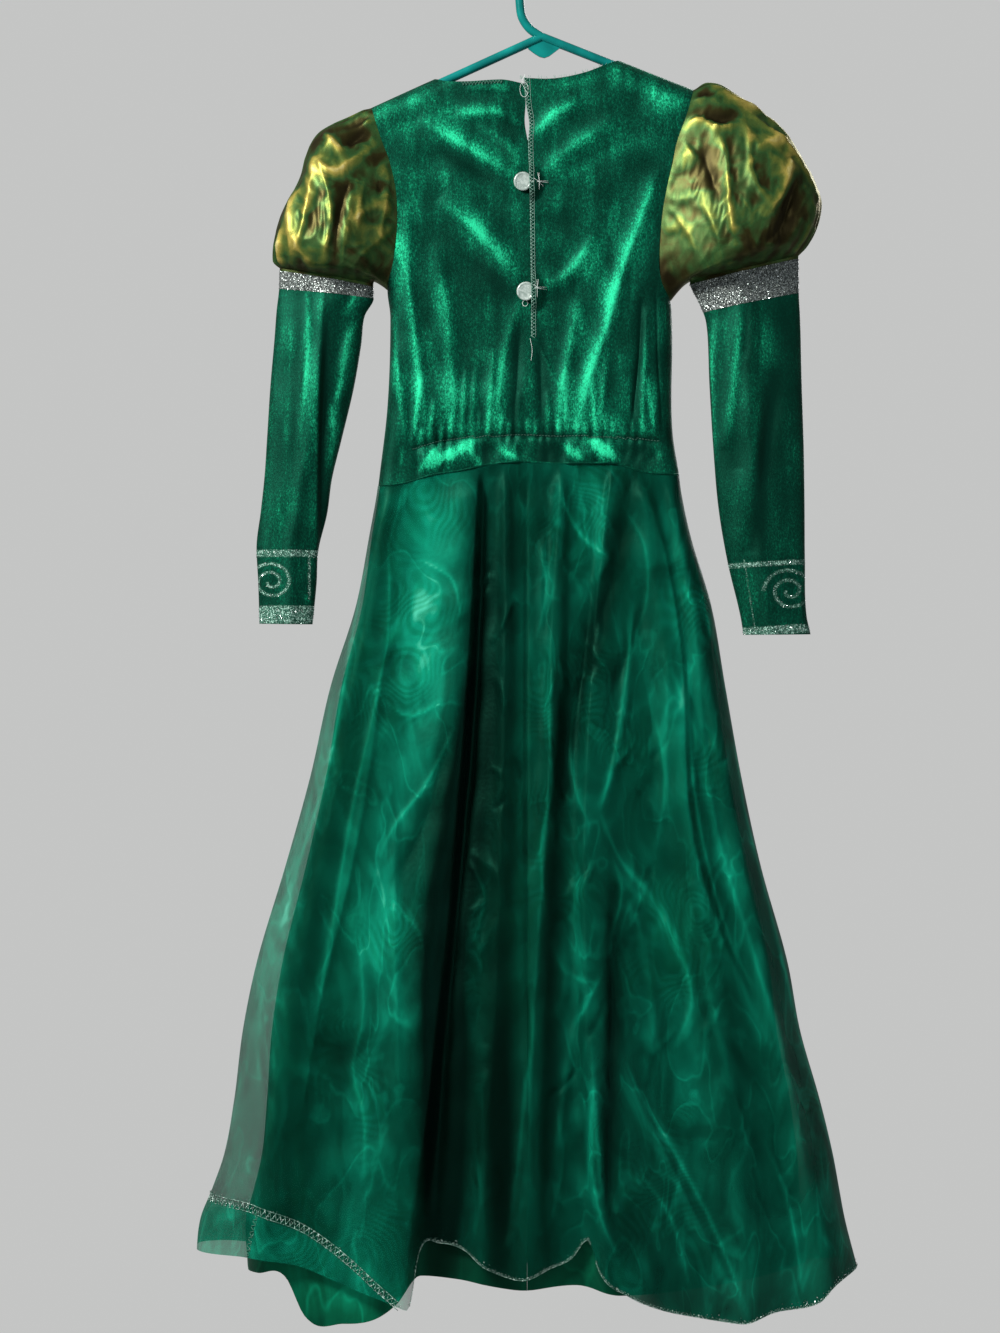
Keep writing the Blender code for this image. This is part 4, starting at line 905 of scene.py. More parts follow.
BUTTONS = {"button_upper": Point(-16.2, -197.0), "button_lower": Point(-13.6, -290.0)}
BUTTON_LIFT, LIFT_REACH, LIFT_RAMP = 5.8, 19.0, 9.0


def placket_lift(x, z):
    """The lapping panel rises over the buttons."""
    total = 0.0
    for place in BUTTONS.values():
        distance = np.hypot(x - place.x, z - place.z)
        total = total + BUTTON_LIFT * smooth_step((LIFT_REACH - distance) / LIFT_RAMP)
    return total


def keyhole(z):
    """Half the width of the gap below the neck."""
    share = (KEYHOLE_TOP - z) / (KEYHOLE_TOP - KEYHOLE_BOTTOM)
    return KEYHOLE_WIDTH / 2 * np.sin(np.pi * np.clip(share, 0.0, 1.0)) ** 2


def back_edge(side):
    return lambda z: centre_back(z) + side * (SEAM_GAP / 2 + keyhole(z))


def as_grid(x, y, z):
    return np.stack(np.broadcast_arrays(x, y, z), axis=-1).astype(float)


tip_left, tip_right = float(outer_left(-134.0)), float(outer_right(-118.5))
BODICE_CREST = 3.4
for side, word, neck, outer, tip in ((-1, "left", BACK_NECK_LEFT, outer_left, tip_left),
                                     (1, "right", BACK_NECK_RIGHT, outer_right, tip_right)):
    neck_line, centre = top_edge(neck), back_edge(side)
    x, z = panel(
        edge_columns(140, 22), rows_close_at_top(10, 150), centre, outer,
        lambda share: neck_line(mix(float(centre_back(-109.0)), tip, share)),
        line_at(waist, centre, outer, SKIRT_TOP, SEAM_GAP / 2))
    depth, relief = back_bodice(x, z)
    if side == 1:
        depth = depth + placket_lift(x, z)
    grid = as_grid(x, -(SEAM_GAP / 2 + depth), z)
    on_elastic = (x > GATHER_LEFT_X) & (x < GATHER_RIGHT_X)
    # Painted shade: a dark line along the elastic where the gathers tuck in, added to the shade table.
    painted_tuck_shade = 0.7 * bell(z - elastic(x), 1.6) * on_elastic
    marks = {"crest": np.clip(relief / BODICE_CREST, -1, 1),
             "shade": np.clip(painted_tuck_shade + ridges(BODICE_SHADES, x, z), 0, 1)}
    cloth(f"back_bodice_{word}_velvet", f"back_bodice_{word}", grid, VELVET, velvet,
          marks, level_rows=(-1,), square_columns=(0,))

# %% [markdown]
# The front bodice is one panel with a lower scooped neck. It isn't seen in the photograph, so it
# is finished plainly, with a few long soft folds.

# %% Front bodice
FRONT_RIDGES = [
    Ridge(2.0, 9, 9, [(460, 170), (471, 310)]), Ridge(2.0, 9, 9, [(595, 170), (587, 310)]),
    Ridge(2.0, 8, 8, [(495, 345), (490, 460)]), Ridge(2.0, 8, 8, [(554, 335), (556, 460)]),
    Ridge(2.0, 8, 8, [(612, 345), (620, 460)]),
]
neck_line = top_edge(FRONT_NECK)
x, z = panel(
    both_edge_columns(60, 16), rows_close_at_top(8, 80), outer_left, outer_right,
    lambda share: neck_line(mix(tip_left, tip_right, share)),
    line_at(front_waist, outer_left, outer_right, SKIRT_TOP, SEAM_GAP / 2))
shape = bodice_depth(x, z)
relief = smooth_step(shape / 8) * (ridges(FRONT_RIDGES, x, z) + 0.5 * soft_noise(x, z, 40, 5))
grid = as_grid(x, SEAM_GAP / 2 + shape + relief, z)
# The crest of the relief paints the folds' ridges lighter and their valleys darker, as painted light and
# shade.
cloth("front_bodice_velvet", "front_bodice", grid, VELVET, velvet,
      {"crest": np.clip(relief / BODICE_CREST, -1, 1), "shade": 0.0}, level_rows=(-1,))

# %% [markdown]
# The skirt is two layers: a sheer overlay and a satin lining. Both hang from the waist seam and
# open out towards the hem. The overlay carries sharp creases, and where it falls into a deep
# fold the lining falls in with it, so the two never cross. The left side of the photograph shows
# a bright broad panel that ends in a nearly black fold; both are painted into the colour, as
# painted highlight and painted shade. The first table holds the soft folds and the second the fine
# sharp creases, whose crests are also painted lighter as painted highlights. The next three tables
# change the colour and cover: painted shade in deep folds, painted highlights on stretches that
# face the light, and denser cover where the cloth lies in many layers and where painted light and
# shade must hide the backdrop. Last come seventy small crumples, placed by chance.

# %% Folds of the skirt
SKIRT_RIDGES = [
    Ridge(2.8, 4, 3, [(562, 460), (551, 620), (549, 766), (535, 980), (529, 1100), (527, 1250)]),
    Ridge(-7.0, 9, 12, [(485, 462), (480, 640), (469, 780), (447, 920), (441, 1100), (438, 1260)]),
    Ridge(-3.0, 9, 9, [(568, 620), (556, 800), (548, 1000), (543, 1240)]),
    Ridge(-1.6, 1.6, 1.6, [(526, 455), (526, 800), (527, 1150)]),
    Ridge(3.6, 8, 3, [(634, 465), (658, 529), (681, 664), (689, 830), (721, 938), (779, 1064)]),
    Ridge(2.6, 5, 3, [(690, 590), (714, 823), (746, 935), (783, 1056), (806, 1200)]),
    Ridge(-4.5, 10, 8, [(629, 470), (615, 560), (592, 640), (575, 710), (562, 800)]),
    Ridge(2.8, 4, 5, [(631, 600), (628, 673), (614, 766), (597, 815)]),
    Ridge(2.8, 5, 4, [(605, 845), (628, 884), (663, 919), (694, 985)]),
    Ridge(-4.5, 5, 7, [(612, 880), (612, 980), (609, 1080), (604, 1250)]),
    Ridge(4.2, 3, 5, [(590, 1030), (596, 1130), (607, 1238)]),
    Ridge(3.0, 6, 2.5, [(610, 1040), (668, 1160), (702, 1230), (748, 1318)]),
    Ridge(2.6, 7, 3, [(390, 590), (372, 753), (350, 877), (318, 1010), (298, 1150)]),
    Ridge(2.2, 4, 4, [(396, 815), (396, 950), (402, 1110)]),
    Ridge(-2.6, 7, 9, [(452, 725), (436, 785), (420, 835), (388, 890)]),
    Ridge(1.6, 2, 2, [(340, 655), (321, 759), (289, 893), (276, 982), (277, 1120)]),
    Ridge(2.0, 3, 4, [(255, 1010), (268, 960), (300, 880)]),
    Ridge(2.2, 4, 4, [(545, 530), (541, 600), (546, 660)]),
    Ridge(2.4, 6, 5, [(600, 480), (598, 530), (618, 580)]),
    Ridge(-2.6, 6, 6, [(648, 560), (640, 620), (612, 690), (602, 740)]),
    Ridge(2.2, 5, 5, [(668, 640), (664, 760), (674, 860)]),
    Ridge(2.4, 5, 6, [(640, 930), (652, 1010), (644, 1080)]),
    Ridge(2.0, 5, 5, [(700, 960), (724, 1060), (760, 1180)]),
    Ridge(-2.4, 6, 6, [(690, 930), (704, 1010), (742, 1110)]),
    Ridge(2.2, 5, 5, [(470, 850), (496, 872), (506, 905)]),
    Ridge(2.0, 5, 4, [(480, 1010), (482, 1100), (486, 1230)]),
    Ridge(2.2, 5, 5, [(560, 920), (566, 970), (556, 1020)]),
    Ridge(2.6, 4, 4, [(574, 1020), (560, 1120), (554, 1215)]),
    Ridge(1.8, 6, 4, [(820, 1130), (832, 1200), (844, 1262)]),
]
SKIRT_LINES = [
    Ridge(1.1, 1.5, 2.2, [(698, 554), (704, 611), (730, 707), (742, 804), (764, 890), (801, 1043),
          (846, 1200)]),
    Ridge(1.2, 1.6, 2.4, [(633, 605), (624, 690), (613, 759), (599, 810)]),
    Ridge(1.3, 1.6, 2.6, [(599, 812), (621, 861), (650, 895), (673, 935), (678, 960)]),
    Ridge(1.1, 1.6, 2.2, [(687, 656), (690, 759), (701, 838), (730, 941), (752, 986)]),
    Ridge(1.8, 3.0, 1.4, [(593, 1080), (590, 1151), (599, 1208), (616, 1246)]),
    Ridge(1.3, 1.6, 2.2, [(616, 1043), (644, 1100), (678, 1157), (713, 1225), (747, 1311)]),
    Ridge(1.2, 1.4, 2.0, [(530, 986), (533, 1032), (525, 1083), (519, 1146), (513, 1197), (508, 1240)]),
    Ridge(0.9, 1.5, 2.0, [(468, 861), (485, 895), (473, 941)]),
    Ridge(1.1, 1.5, 2.2, [(402, 500), (388, 560), (391, 611), (377, 702), (354, 804), (337, 907),
          (303, 1110)]),
    Ridge(1.0, 1.4, 2.0, [(371, 542), (354, 628), (343, 696), (326, 781), (291, 895), (278, 1000)]),
    Ridge(0.9, 1.6, 2.2, [(360, 924), (365, 1009), (354, 1066), (365, 1106), (365, 1180)]),
    Ridge(1.0, 1.5, 2.4, [(456, 725), (428, 781), (394, 827), (380, 856)]),
    Ridge(1.2, 1.5, 2.4, [(576, 690), (570, 747), (576, 793), (590, 827)]),
    Ridge(1.0, 1.5, 2.4, [(622, 505), (644, 548), (644, 611), (633, 640)]),
    Ridge(1.2, 1.6, 2.4, [(560, 496), (582, 537), (610, 560)]),
    Ridge(1.0, 1.5, 2.0, [(539, 540), (547, 588), (536, 640)]),
    Ridge(1.2, 1.5, 2.2, [(610, 850), (621, 890), (610, 941), (616, 990)]),
    Ridge(1.0, 1.5, 2.2, [(673, 930), (690, 998), (673, 1044)]),
    Ridge(1.1, 1.5, 2.2, [(572, 1026), (593, 986), (602, 968)]),
    Ridge(1.0, 1.5, 2.2, [(550, 936), (565, 969), (602, 982)]),
    Ridge(0.9, 1.4, 2.2, [(546, 700), (552, 780), (540, 850), (548, 930)]),
    Ridge(0.9, 1.4, 2.2, [(650, 700), (664, 780), (655, 850)]),
    Ridge(0.9, 1.4, 2.2, [(470, 1120), (480, 1180), (474, 1240)]),
    Ridge(0.9, 1.4, 2.2, [(556, 1100), (562, 1150), (550, 1220)]),
    Ridge(1.0, 1.4, 2.2, [(640, 1170), (668, 1210), (690, 1290)]),
    Ridge(0.9, 1.4, 2.2, [(760, 1130), (786, 1200), (800, 1290)]),
    Ridge(0.8, 1.4, 2.2, [(420, 560), (452, 580), (462, 620)]),
    Ridge(0.8, 1.4, 2.2, [(384, 700), (410, 716), (446, 700)]),
    Ridge(0.8, 1.4, 2.2, [(392, 900), (420, 930), (428, 980)]),
]
# Painted shade in the deep folds and the shaded stretches of the skirt.
SHADES = [
    Ridge(1.0, 13, 26, [(487, 380), (481, 560), (474, 700), (457, 830), (439, 930), (439, 1100),
          (434, 1360)]),
    Ridge(0.5, 14, 14, [(512, 400), (510, 700), (502, 900), (498, 1360)]),
    Ridge(0.45, 9, 10, [(543, 400), (541, 520), (534, 640)]),
    Ridge(0.65, 9, 12, [(562, 640), (562, 740), (556, 850), (549, 960), (553, 1050), (546, 1320)]),
    Ridge(0.7, 8, 9, [(608, 800), (613, 900), (611, 1050), (606, 1300)]),
    Ridge(0.55, 13, 12, [(632, 400), (622, 540), (594, 640), (570, 760)]),
    Ridge(0.35, 20, 24, [(486, 820), (506, 1000), (512, 1330)]),
    Ridge(0.9, 20, 26, [(474, 660), (454, 830), (440, 930), (441, 1100), (434, 1400)]),
    Ridge(0.45, 24, 24, [(490, 1000), (500, 1200), (500, 1400)]),
    Ridge(0.4, 70, 70, [(650, 940), (680, 1180), (700, 1480)]),
    Ridge(0.3, 14, 20, [(452, 770), (400, 850), (340, 900)]),
    Ridge(0.25, 30, 60, [(320, 1000), (300, 1150), (300, 1360)]),
]
# Painted highlights on stretches of the skirt that face the light.
PAINTED_LIGHTS = [
    Ridge(1.0, 30, 32, [(448, 330), (436, 480), (426, 600), (418, 700), (404, 840)]),
    Ridge(0.75, 26, 30, [(392, 800), (380, 900), (378, 960), (384, 1040)]),
    Ridge(0.4, 30, 36, [(380, 1000), (366, 1120), (348, 1400)]),
    Ridge(0.7, 20, 16, [(380, 540), (330, 730), (288, 880), (254, 1060), (226, 1300)]),
    Ridge(0.65, 30, 30, [(220, 1240), (330, 1275), (440, 1330)]),
    Ridge(0.6, 16, 22, [(570, 400), (590, 500), (612, 600)]),
    Ridge(0.45, 24, 24, [(640, 820), (668, 940), (690, 1060), (700, 1180)]),
    Ridge(0.4, 16, 18, [(660, 600), (680, 700), (690, 800)]),
    Ridge(0.45, 12, 14, [(660, 470), (676, 560), (690, 640)]),
    Ridge(0.35, 14, 14, [(590, 860), (580, 960), (578, 1020)]),
]
# Denser cover: partly real layers of cloth, and partly raised so that the painted shade and painted
# highlights hide the backdrop.
DENSES = [
    Ridge(1.0, 60, 80, [(600, 1000), (690, 1200), (730, 1330)]),
    Ridge(0.9, 60, 60, [(560, 1270), (1000, 1300)]),
    Ridge(1.0, 45, 60, [(690, 300), (716, 600), (754, 800), (790, 960), (826, 1100), (850, 1500)]),
    Ridge(0.75, 13, 26, [(487, 380), (481, 560), (474, 700), (457, 830), (439, 930), (439, 1100),
          (434, 1360)]),
    Ridge(0.6, 26, 40, [(446, 400), (430, 560), (418, 700), (404, 840), (384, 980), (366, 1120),
          (348, 1300)]),
    Ridge(0.5, 40, 40, [(560, 400), (580, 700), (600, 1000), (560, 1300)]),
]
CREASE_POWER, SKIRT_CREST, CREASE_CREST = 1.2, 4.0, 0.9
CRUMPLE_COUNT = 70
crumple_rng = np.random.default_rng(21)
CRUMPLES = []
for k in range(CRUMPLE_COUNT):
    left = crumple_rng.random() < 0.3
    column_px = crumple_rng.uniform(462, 520) if left else crumple_rng.uniform(545, 740)
    row_px = crumple_rng.uniform(560, 1230)
    turn = crumple_rng.uniform(-0.9, 0.9)
    half = crumple_rng.uniform(8, 26)
    CRUMPLES.append(Ridge(
        crumple_rng.choice([-1.5, 1.2, 1.7]), crumple_rng.uniform(2, 4), crumple_rng.uniform(2, 4),
        [(column_px - half * math.sin(turn), row_px - half * math.cos(turn)),
         (column_px + 3, row_px), (column_px + half * math.sin(turn), row_px + half * math.cos(turn))]))


def lining_left(z):
    return overlay_left(z) + inset_left(z)


def lining_right(z):
    return overlay_right(z) - inset_right(z)


def skirt_shape(layer, table, x, z):
    """The plain depth of a layer, how free it is to fold, and the push of its big folds."""
    depth, aside = skirt_half_depth(z), np.minimum(x - overlay_left(z), overlay_right(z) - x)
    share = 1.0
    if layer == "lining":
        depth, aside = depth - lining_drop(z), np.minimum(x - lining_left(z), lining_right(z) - x)
        share = LINING_SHARE * smooth_step((SKIRT_TOP - 60 - z) / 200)
    shape = depth * rounded(aside, depth)
    return shape, smooth_step(shape / 12), share * folds(table, x, z)


def skirt_relief(x, z, back):
    """The soft folds and creases of the back, or the long plain waves of the front."""
    below = smooth_step((waist(x) - z) / 6)
    if back:
        return below * (ridges(SKIRT_RIDGES, x, z, 1.6) + ridges(CRUMPLES, x, z)
                        + ridges(SKIRT_LINES, x, z, CREASE_POWER) + 0.5 * soft_noise(x, z, 46, 11))
    return below * 1.6 * soft_noise(x * 2.2, z * 0.25, 90, 13)


def skirt_edge(side):
    return lambda z: centre_back(z) + side * SEAM_GAP / 2


raw_hem = across(BACK_HEM)
Layer = namedtuple("Layer", "finish slot thick left right back_hem front_hem columns rows front_columns")
LAYERS = {
    "overlay": Layer(organza, "organza", ORGANZA, overlay_left, overlay_right, FOLDED_HEM, FRONT_HEM,
                     138, 296, 150),
    "lining": Layer(satin, "satin", SATIN, lining_left, lining_right, LINING_BACK_HEM, LINING_FRONT_HEM,
                    80, 170, 110),
}
LEAST_DEPTH = 3.0
for layer, row in LAYERS.items():
    rows = np.linspace(0.0, 1.0, row.rows)
    for side, word, outer in ((-1, "left", row.left), (1, "right", row.right), (0, "front", None)):
        if side:
            centre = skirt_edge(side)
            x, z = panel(edge_columns(row.columns, 16), rows, centre, outer,
                         line_at(waist, centre, outer, SKIRT_TOP, -SEAM_GAP / 2),
                         line_at(across(row.back_hem), centre, outer, HEM_LEVEL))
        else:
            x, z = panel(both_edge_columns(row.front_columns // 2, 14), rows[::2], row.left, row.right,
                         line_at(front_waist, row.left, row.right, SKIRT_TOP, -SEAM_GAP / 2),
                         line_at(across(row.front_hem), row.left, row.right, HEM_LEVEL))
        shape, edge, big = skirt_shape(layer, BACK_FOLDS if side else FRONT_FOLDS, x, z)
        relief = skirt_relief(x, z, bool(side))
        if layer == "lining":
            relief = np.minimum(relief, 0.0) + 0.4 * np.maximum(relief, 0.0)
        depth = np.maximum(shape + edge * (big + relief), np.minimum(shape, LEAST_DEPTH))
        y = (-1 if side else 1) * (SEAM_GAP / 2 + depth)
        if side:
            # Painted light and shade: the crest, with the crease lines added, paints ridges and creases
            # lighter and valleys darker.
            creases = CREASE_CREST * ridges(SKIRT_LINES, x, z, CREASE_POWER)
            marks = {"crest": np.clip(relief / SKIRT_CREST + creases, -1, 1)}
            for tone, table in (("shade", SHADES), ("painted_light", PAINTED_LIGHTS), ("dense", DENSES)):
                marks[tone] = np.clip(ridges(table, x, z), 0, 1)
            folded = smooth_step((raw_hem(x) - z) / 2) * smooth_step((TURNED_UP_TO_X - x) / 6)
            if layer == "overlay":
                # The turned-up hem lies doubled, with a set painted highlight and no painted shade.
                for tone, value in (("dense", 0.42), ("painted_light", 0.5), ("shade", 0.0)):
                    marks[tone] = mix(marks[tone], value, folded)
        else:
            turned_up = smooth_step((HEM_TURNED_UP - z) / 14)
            # The front gets an even painted highlight, stronger on its turned-up hem.
            marks = {"crest": np.clip(relief / SKIRT_CREST, -1, 1), "shade": 0.0,
                     "painted_light": 0.35 + 0.4 * turned_up, "dense": 0.3 + 0.3 * turned_up}
        part = f"{layer}_back_{word}" if side else f"{layer}_front"
        cloth(f"skirt_{part}_cloth", f"skirt_{part}", as_grid(x, y, z), row.thick, row.finish,
              marks, level_rows=(0,),
              square_columns=(0,) if side else ())

# %% [markdown]
# The arms are flattened tubes: a glitter band, a velvet sleeve and a velvet cuff. A cuff carries
# a printed glitter line, a spiral and a broad glitter hem. The spiral is an ordinary one, whose
# radius grows evenly with its angle, so a short formula draws it. The sleeves hang in the shade
# of the puffs, so their colour is painted a little darker than the bodice, as painted shade, with
# painted highlights and painted shade of their own from the tables below.

# %% Arms
ARM_LEFT = [
    Level(-271.2, -222.6, -143.7, 13.6, 10, 10), Level(-286.6, -223, -143.5, 8, 10, 10),
    Level(-304, -225, -151, 5, 11, 10), Level(-330, -227, -154, 3, 11.5, 10),
    Level(-369, -230.4, -160.5, 2, 12, 10), Level(-413, -233.2, -171, 2, 11.5, 9.5),
    Level(-446, -235.4, -179, 2, 11, 9), Level(-475, -238.5, -183, 2, 10, 8.5),
    Level(-507, -242.2, -190.6, 2, 9, 8), Level(-535, -240.8, -192, 1, 9, 8),
    Level(-571, -239.7, -195.5, 0.5, 9, 8)]
ARM_RIGHT = [
    Level(-260.8, 217.6, 126, 22, 10, 10), Level(-290, 217.8, 137.5, 16.5, 10, 10),
    Level(-311, 218.9, 140.5, 8, 11, 10), Level(-365, 220.2, 142.8, 3, 12, 10),
    Level(-422, 222, 146.2, 2, 12, 10), Level(-471, 222.7, 150.5, 2, 11, 9),
    Level(-516, 223, 158.1, 2, 10, 8.5), Level(-564, 224.4, 169.2, 1, 9, 8),
    Level(-580, 227.8, 171.7, 0.5, 9, 8)]
CUFF_LEFT_Z, CUFF_RIGHT_Z = -506.5, -515.0
SLEEVE_RIDGE, SLEEVE_RIDGE_AT, SLEEVE_RIDGE_WIDTH = 0.3, 0.58, 0.12
SLEEVE_RIDGES = [
    Ridge(2.2, 10, 1.4, [(325, 285), (319, 396), (317, 470), (317, 560)]),
    Ridge(-1.6, 1.5, 4.0, [(331, 290), (324, 396), (321, 560)]),
    Ridge(1.6, 3, 4, [(308, 290), (306, 379), (301, 450)]),
    Ridge(2.2, 4, 4, [(356, 322), (347, 350), (341, 378)]),
    Ridge(1.8, 4, 4, [(347, 376), (339, 402), (334, 430)]),
    Ridge(2.6, 4, 6, [(738, 300), (733, 360), (730, 400), (724, 450)]),
    Ridge(-2.6, 7, 7, [(778, 368), (768, 430), (762, 480), (755, 555)]),
    Ridge(1.6, 3, 4, [(717, 320), (711, 360), (713, 430)]),
    Ridge(1.3, 5, 5, [(770, 312), (766, 374)]),
    Ridge(1.5, 6, 6, [(738, 470), (742, 550)]),
    Ridge(-1.4, 4, 4, [(745, 300), (745, 360)]),
]
# Painted highlights on the sleeves and cuffs.
SLEEVE_LIGHTS = [
    Ridge(2.6, 1.5, 2.5, [(306, 280), (309, 340), (304, 410)]),
    Ridge(1.8, 2.5, 2.5, [(294, 290), (290, 380), (286, 470)]),
    Ridge(3.6, 3.5, 3, [(357, 292), (350, 306), (346, 318)]),
    Ridge(3.0, 3, 3, [(350, 350), (342, 376), (336, 402)]),
    Ridge(3.0, 3, 3.5, [(331, 404), (334, 440), (327, 470)]),
    Ridge(1.6, 1.5, 1.5, [(271, 290), (266, 400), (260, 520)]),
    Ridge(2.4, 2, 4, [(742, 296), (736, 352), (728, 440)]),
    Ridge(2.0, 2, 2.5, [(714, 300), (711, 360), (716, 460)]),
    Ridge(1.2, 3, 3, [(762, 300), (760, 380), (752, 460)]),
    Ridge(2.0, 3, 4, [(300, 592), (306, 598), (310, 606)]),
]
# Painted shade over each whole arm piece, and the scale of the crest for its painted highlights.
SLEEVE_DIMMING, SLEEVE_CREST = 0.3, 4.5
PRINT_EDGE, SPIRAL_STRETCH, SPIRAL_START = 0.8, 1.15, 0.35
# Painted shade along the sleeves' edges and hollows.
SLEEVE_SHADES = [
    Ridge(0.7, 1.2, 7, [(326, 280), (321, 396), (319, 470), (319, 570)]),
    Ridge(0.5, 8, 10, [(800, 290), (790, 330), (778, 368), (765, 450), (755, 570)]),
    Ridge(0.4, 5, 5, [(752, 290), (748, 340), (744, 400)]),
]


def arm_ring(table, level, angle):
    """Points round a flattened sleeve: angle 0 is its outer edge and pi its inner one."""
    share = (1 - np.cos(angle)) / 2
    x = mix(column(table, "z", "x_out")(level), column(table, "z", "x_in")(level), share)
    z = level - column(table, "z", "drop")(level) * share
    ridge = 1 + SLEEVE_RIDGE * bell(share - SLEEVE_RIDGE_AT, SLEEVE_RIDGE_WIDTH)
    near = column(table, "z", "near")(level) * ridge
    far = column(table, "z", "far")(level)
    y = -np.sin(angle) * np.where(np.sin(angle) > 0, near, far)
    return as_grid(x, y, z)


def spiral(x, z, centre, reach, turns, width):
    """1 on the line of an even spiral, and 0 away from it; it is a little wider than tall."""
    dx, dz = (x - centre[0]) / SPIRAL_STRETCH, z - centre[1]
    distance, angle = np.hypot(dx, dz), np.arctan2(dz, dx) + math.pi
    total = np.zeros(x.shape)
    for k in range(turns):
        line_radius = reach * (angle / (2 * math.pi) + k + SPIRAL_START) / (turns + SPIRAL_START)
        total = np.maximum(total, smooth_step((width - np.abs(distance - line_radius)) / PRINT_EDGE + 0.5))
    return total


def bar(value, low, high):
    """1 between two values, and 0 outside them."""
    return smooth_step((value - low) / PRINT_EDGE) * smooth_step((high - value) / PRINT_EDGE)


def cuff_glitter(word, x, z, near):
    """The glitter print of a cuff: two bands round it, an upright line and a spiral on the near side."""
    if word == "left":
        bands = bar(z, -514.5, -508.2) + bar(z, -571, -555.5)
        upright = bar(x, photo_x(308), photo_x(311)) * (z > -550)
        ornament = spiral(x, z, from_photo(272, 582), 17.0, 2, 1.0)
    else:
        tilt = z - 0.06 * (x - 190)
        bands = bar(tilt, -522.5, -518) + bar(tilt, -581, -573)
        seam_x = mix(photo_x(744), photo_x(753), (-520 - z) / 48)
        upright = 0.6 * bar(x - seam_x, -0.6, 0.8)
        ornament = 0.7 * spiral(x, z, from_photo(789, 591), 19.5, 2, 1.2)
    return np.clip(bands + near * (upright + ornament), 0, 1)


def make_arm(word, table, cuff_z):
    """The band, the sleeve and the cuff of one arm."""
    pieces = {
        "arm_band": (table[0].z, table[1].z, 24, RIBBON, ribbon, "glitter_ribbon", BAND_CUT[word]),
        "lower_sleeve": (table[1].z - SEAM_GAP, cuff_z, 150, VELVET, velvet, "velvet", (0.16, 0.24)),
        "cuff": (cuff_z - SEAM_GAP, table[-1].z, 80, VELVET, cuff_velvet, "velvet", (0.115, 0.066)),
    }
    angles = np.linspace(0.0, 2 * math.pi, 180, endpoint=False)
    for part, (top, bottom, count, thick, finish, slot, flat) in pieces.items():
        level, angle = np.meshgrid(np.linspace(top, bottom, count), angles, indexing="ij")
        grid = arm_ring(table, level, angle)
        x, z = grid[..., 0], grid[..., 2]
        near = smooth_step(np.sin(angle) * 2.5)
        relief = ridges(SLEEVE_RIDGES, x, z) * near
        relief = relief + 0.5 * soft_noise(x, z * 0.6, 30, 31) * np.abs(np.sin(angle))
        if part == "arm_band":
            relief = relief * 0.3
        grid[..., 1] -= relief * np.sign(np.sin(angle))
        # Painted shade from the dimming and the shade table, and painted highlights from the relief and the
        # lights table.
        dark = SLEEVE_DIMMING + near * ridges(SLEEVE_SHADES, x, z)
        lit = relief + near * ridges(SLEEVE_LIGHTS, x, z, 1.5)
        marks = {"crest": np.clip(lit / SLEEVE_CREST, -1, 1), "shade": np.clip(dark, 0, 1)}
        if part == "cuff":
            marks["glitter"] = cuff_glitter(word, x, z, near)
        cloth(f"{part}_{word}_cloth", f"{part}_{word}", grid, thick, finish, marks,
              closed=True, level_rows=(0, -1))


make_arm("left", ARM_LEFT, CUFF_LEFT_Z)
make_arm("right", ARM_RIGHT, CUFF_RIGHT_Z)

# %% [markdown]
# A puff is a tube that fans round the underarm, gathered into the armhole and into the band. The
# imported model gives its outline and fullness. On the side that we see, the folds follow paths
# from the photograph. The far side gets folds of the same size from smooth noise with its
# crests sharpened, as crisp lame makes. The relief of every fold also paints its crest lighter and
# its hollow darker, as painted light and shade, and the cloth near the underarm is painted dark,
# as painted shade.

# %% Puffs
PUFF_LEFT = line(
    (-144.5, -133), (-163.2, -141.6), (-177.7, -147.6), (-189.6, -155), (-196, -164), (-205.7, -193),
    (-221.5, -223.6), (-227.3, -247.4), (-227.8, -263), (-223, -271.2))
PUFF_RIGHT = line(
    (128.4, -118), (141, -113), (150, -114.2), (162, -121), (191.3, -141), (207, -154.5), (221, -176.8),
    (231.5, -196), (237.5, -214), (233, -235), (217.6, -260.8))
PUFF_DEPTH = [(0, 15), (0.12, 24), (0.3, 35), (0.6, 43), (0.84, 40), (0.94, 28), (1, 10)]
COLLAR_HEIGHT, PUFF_INNER_RISE, ARMHOLE_GAP, COLLAR_START = 2.4, 7.0, 0.12, 0.98
PUFF_GATHERS, PUFF_CREST = 20, 4.5
PUFF_ROWS, PUFF_COLUMNS = 96, 240
ARMHOLE_BLEND, COLLAR_BLEND = 5, 40
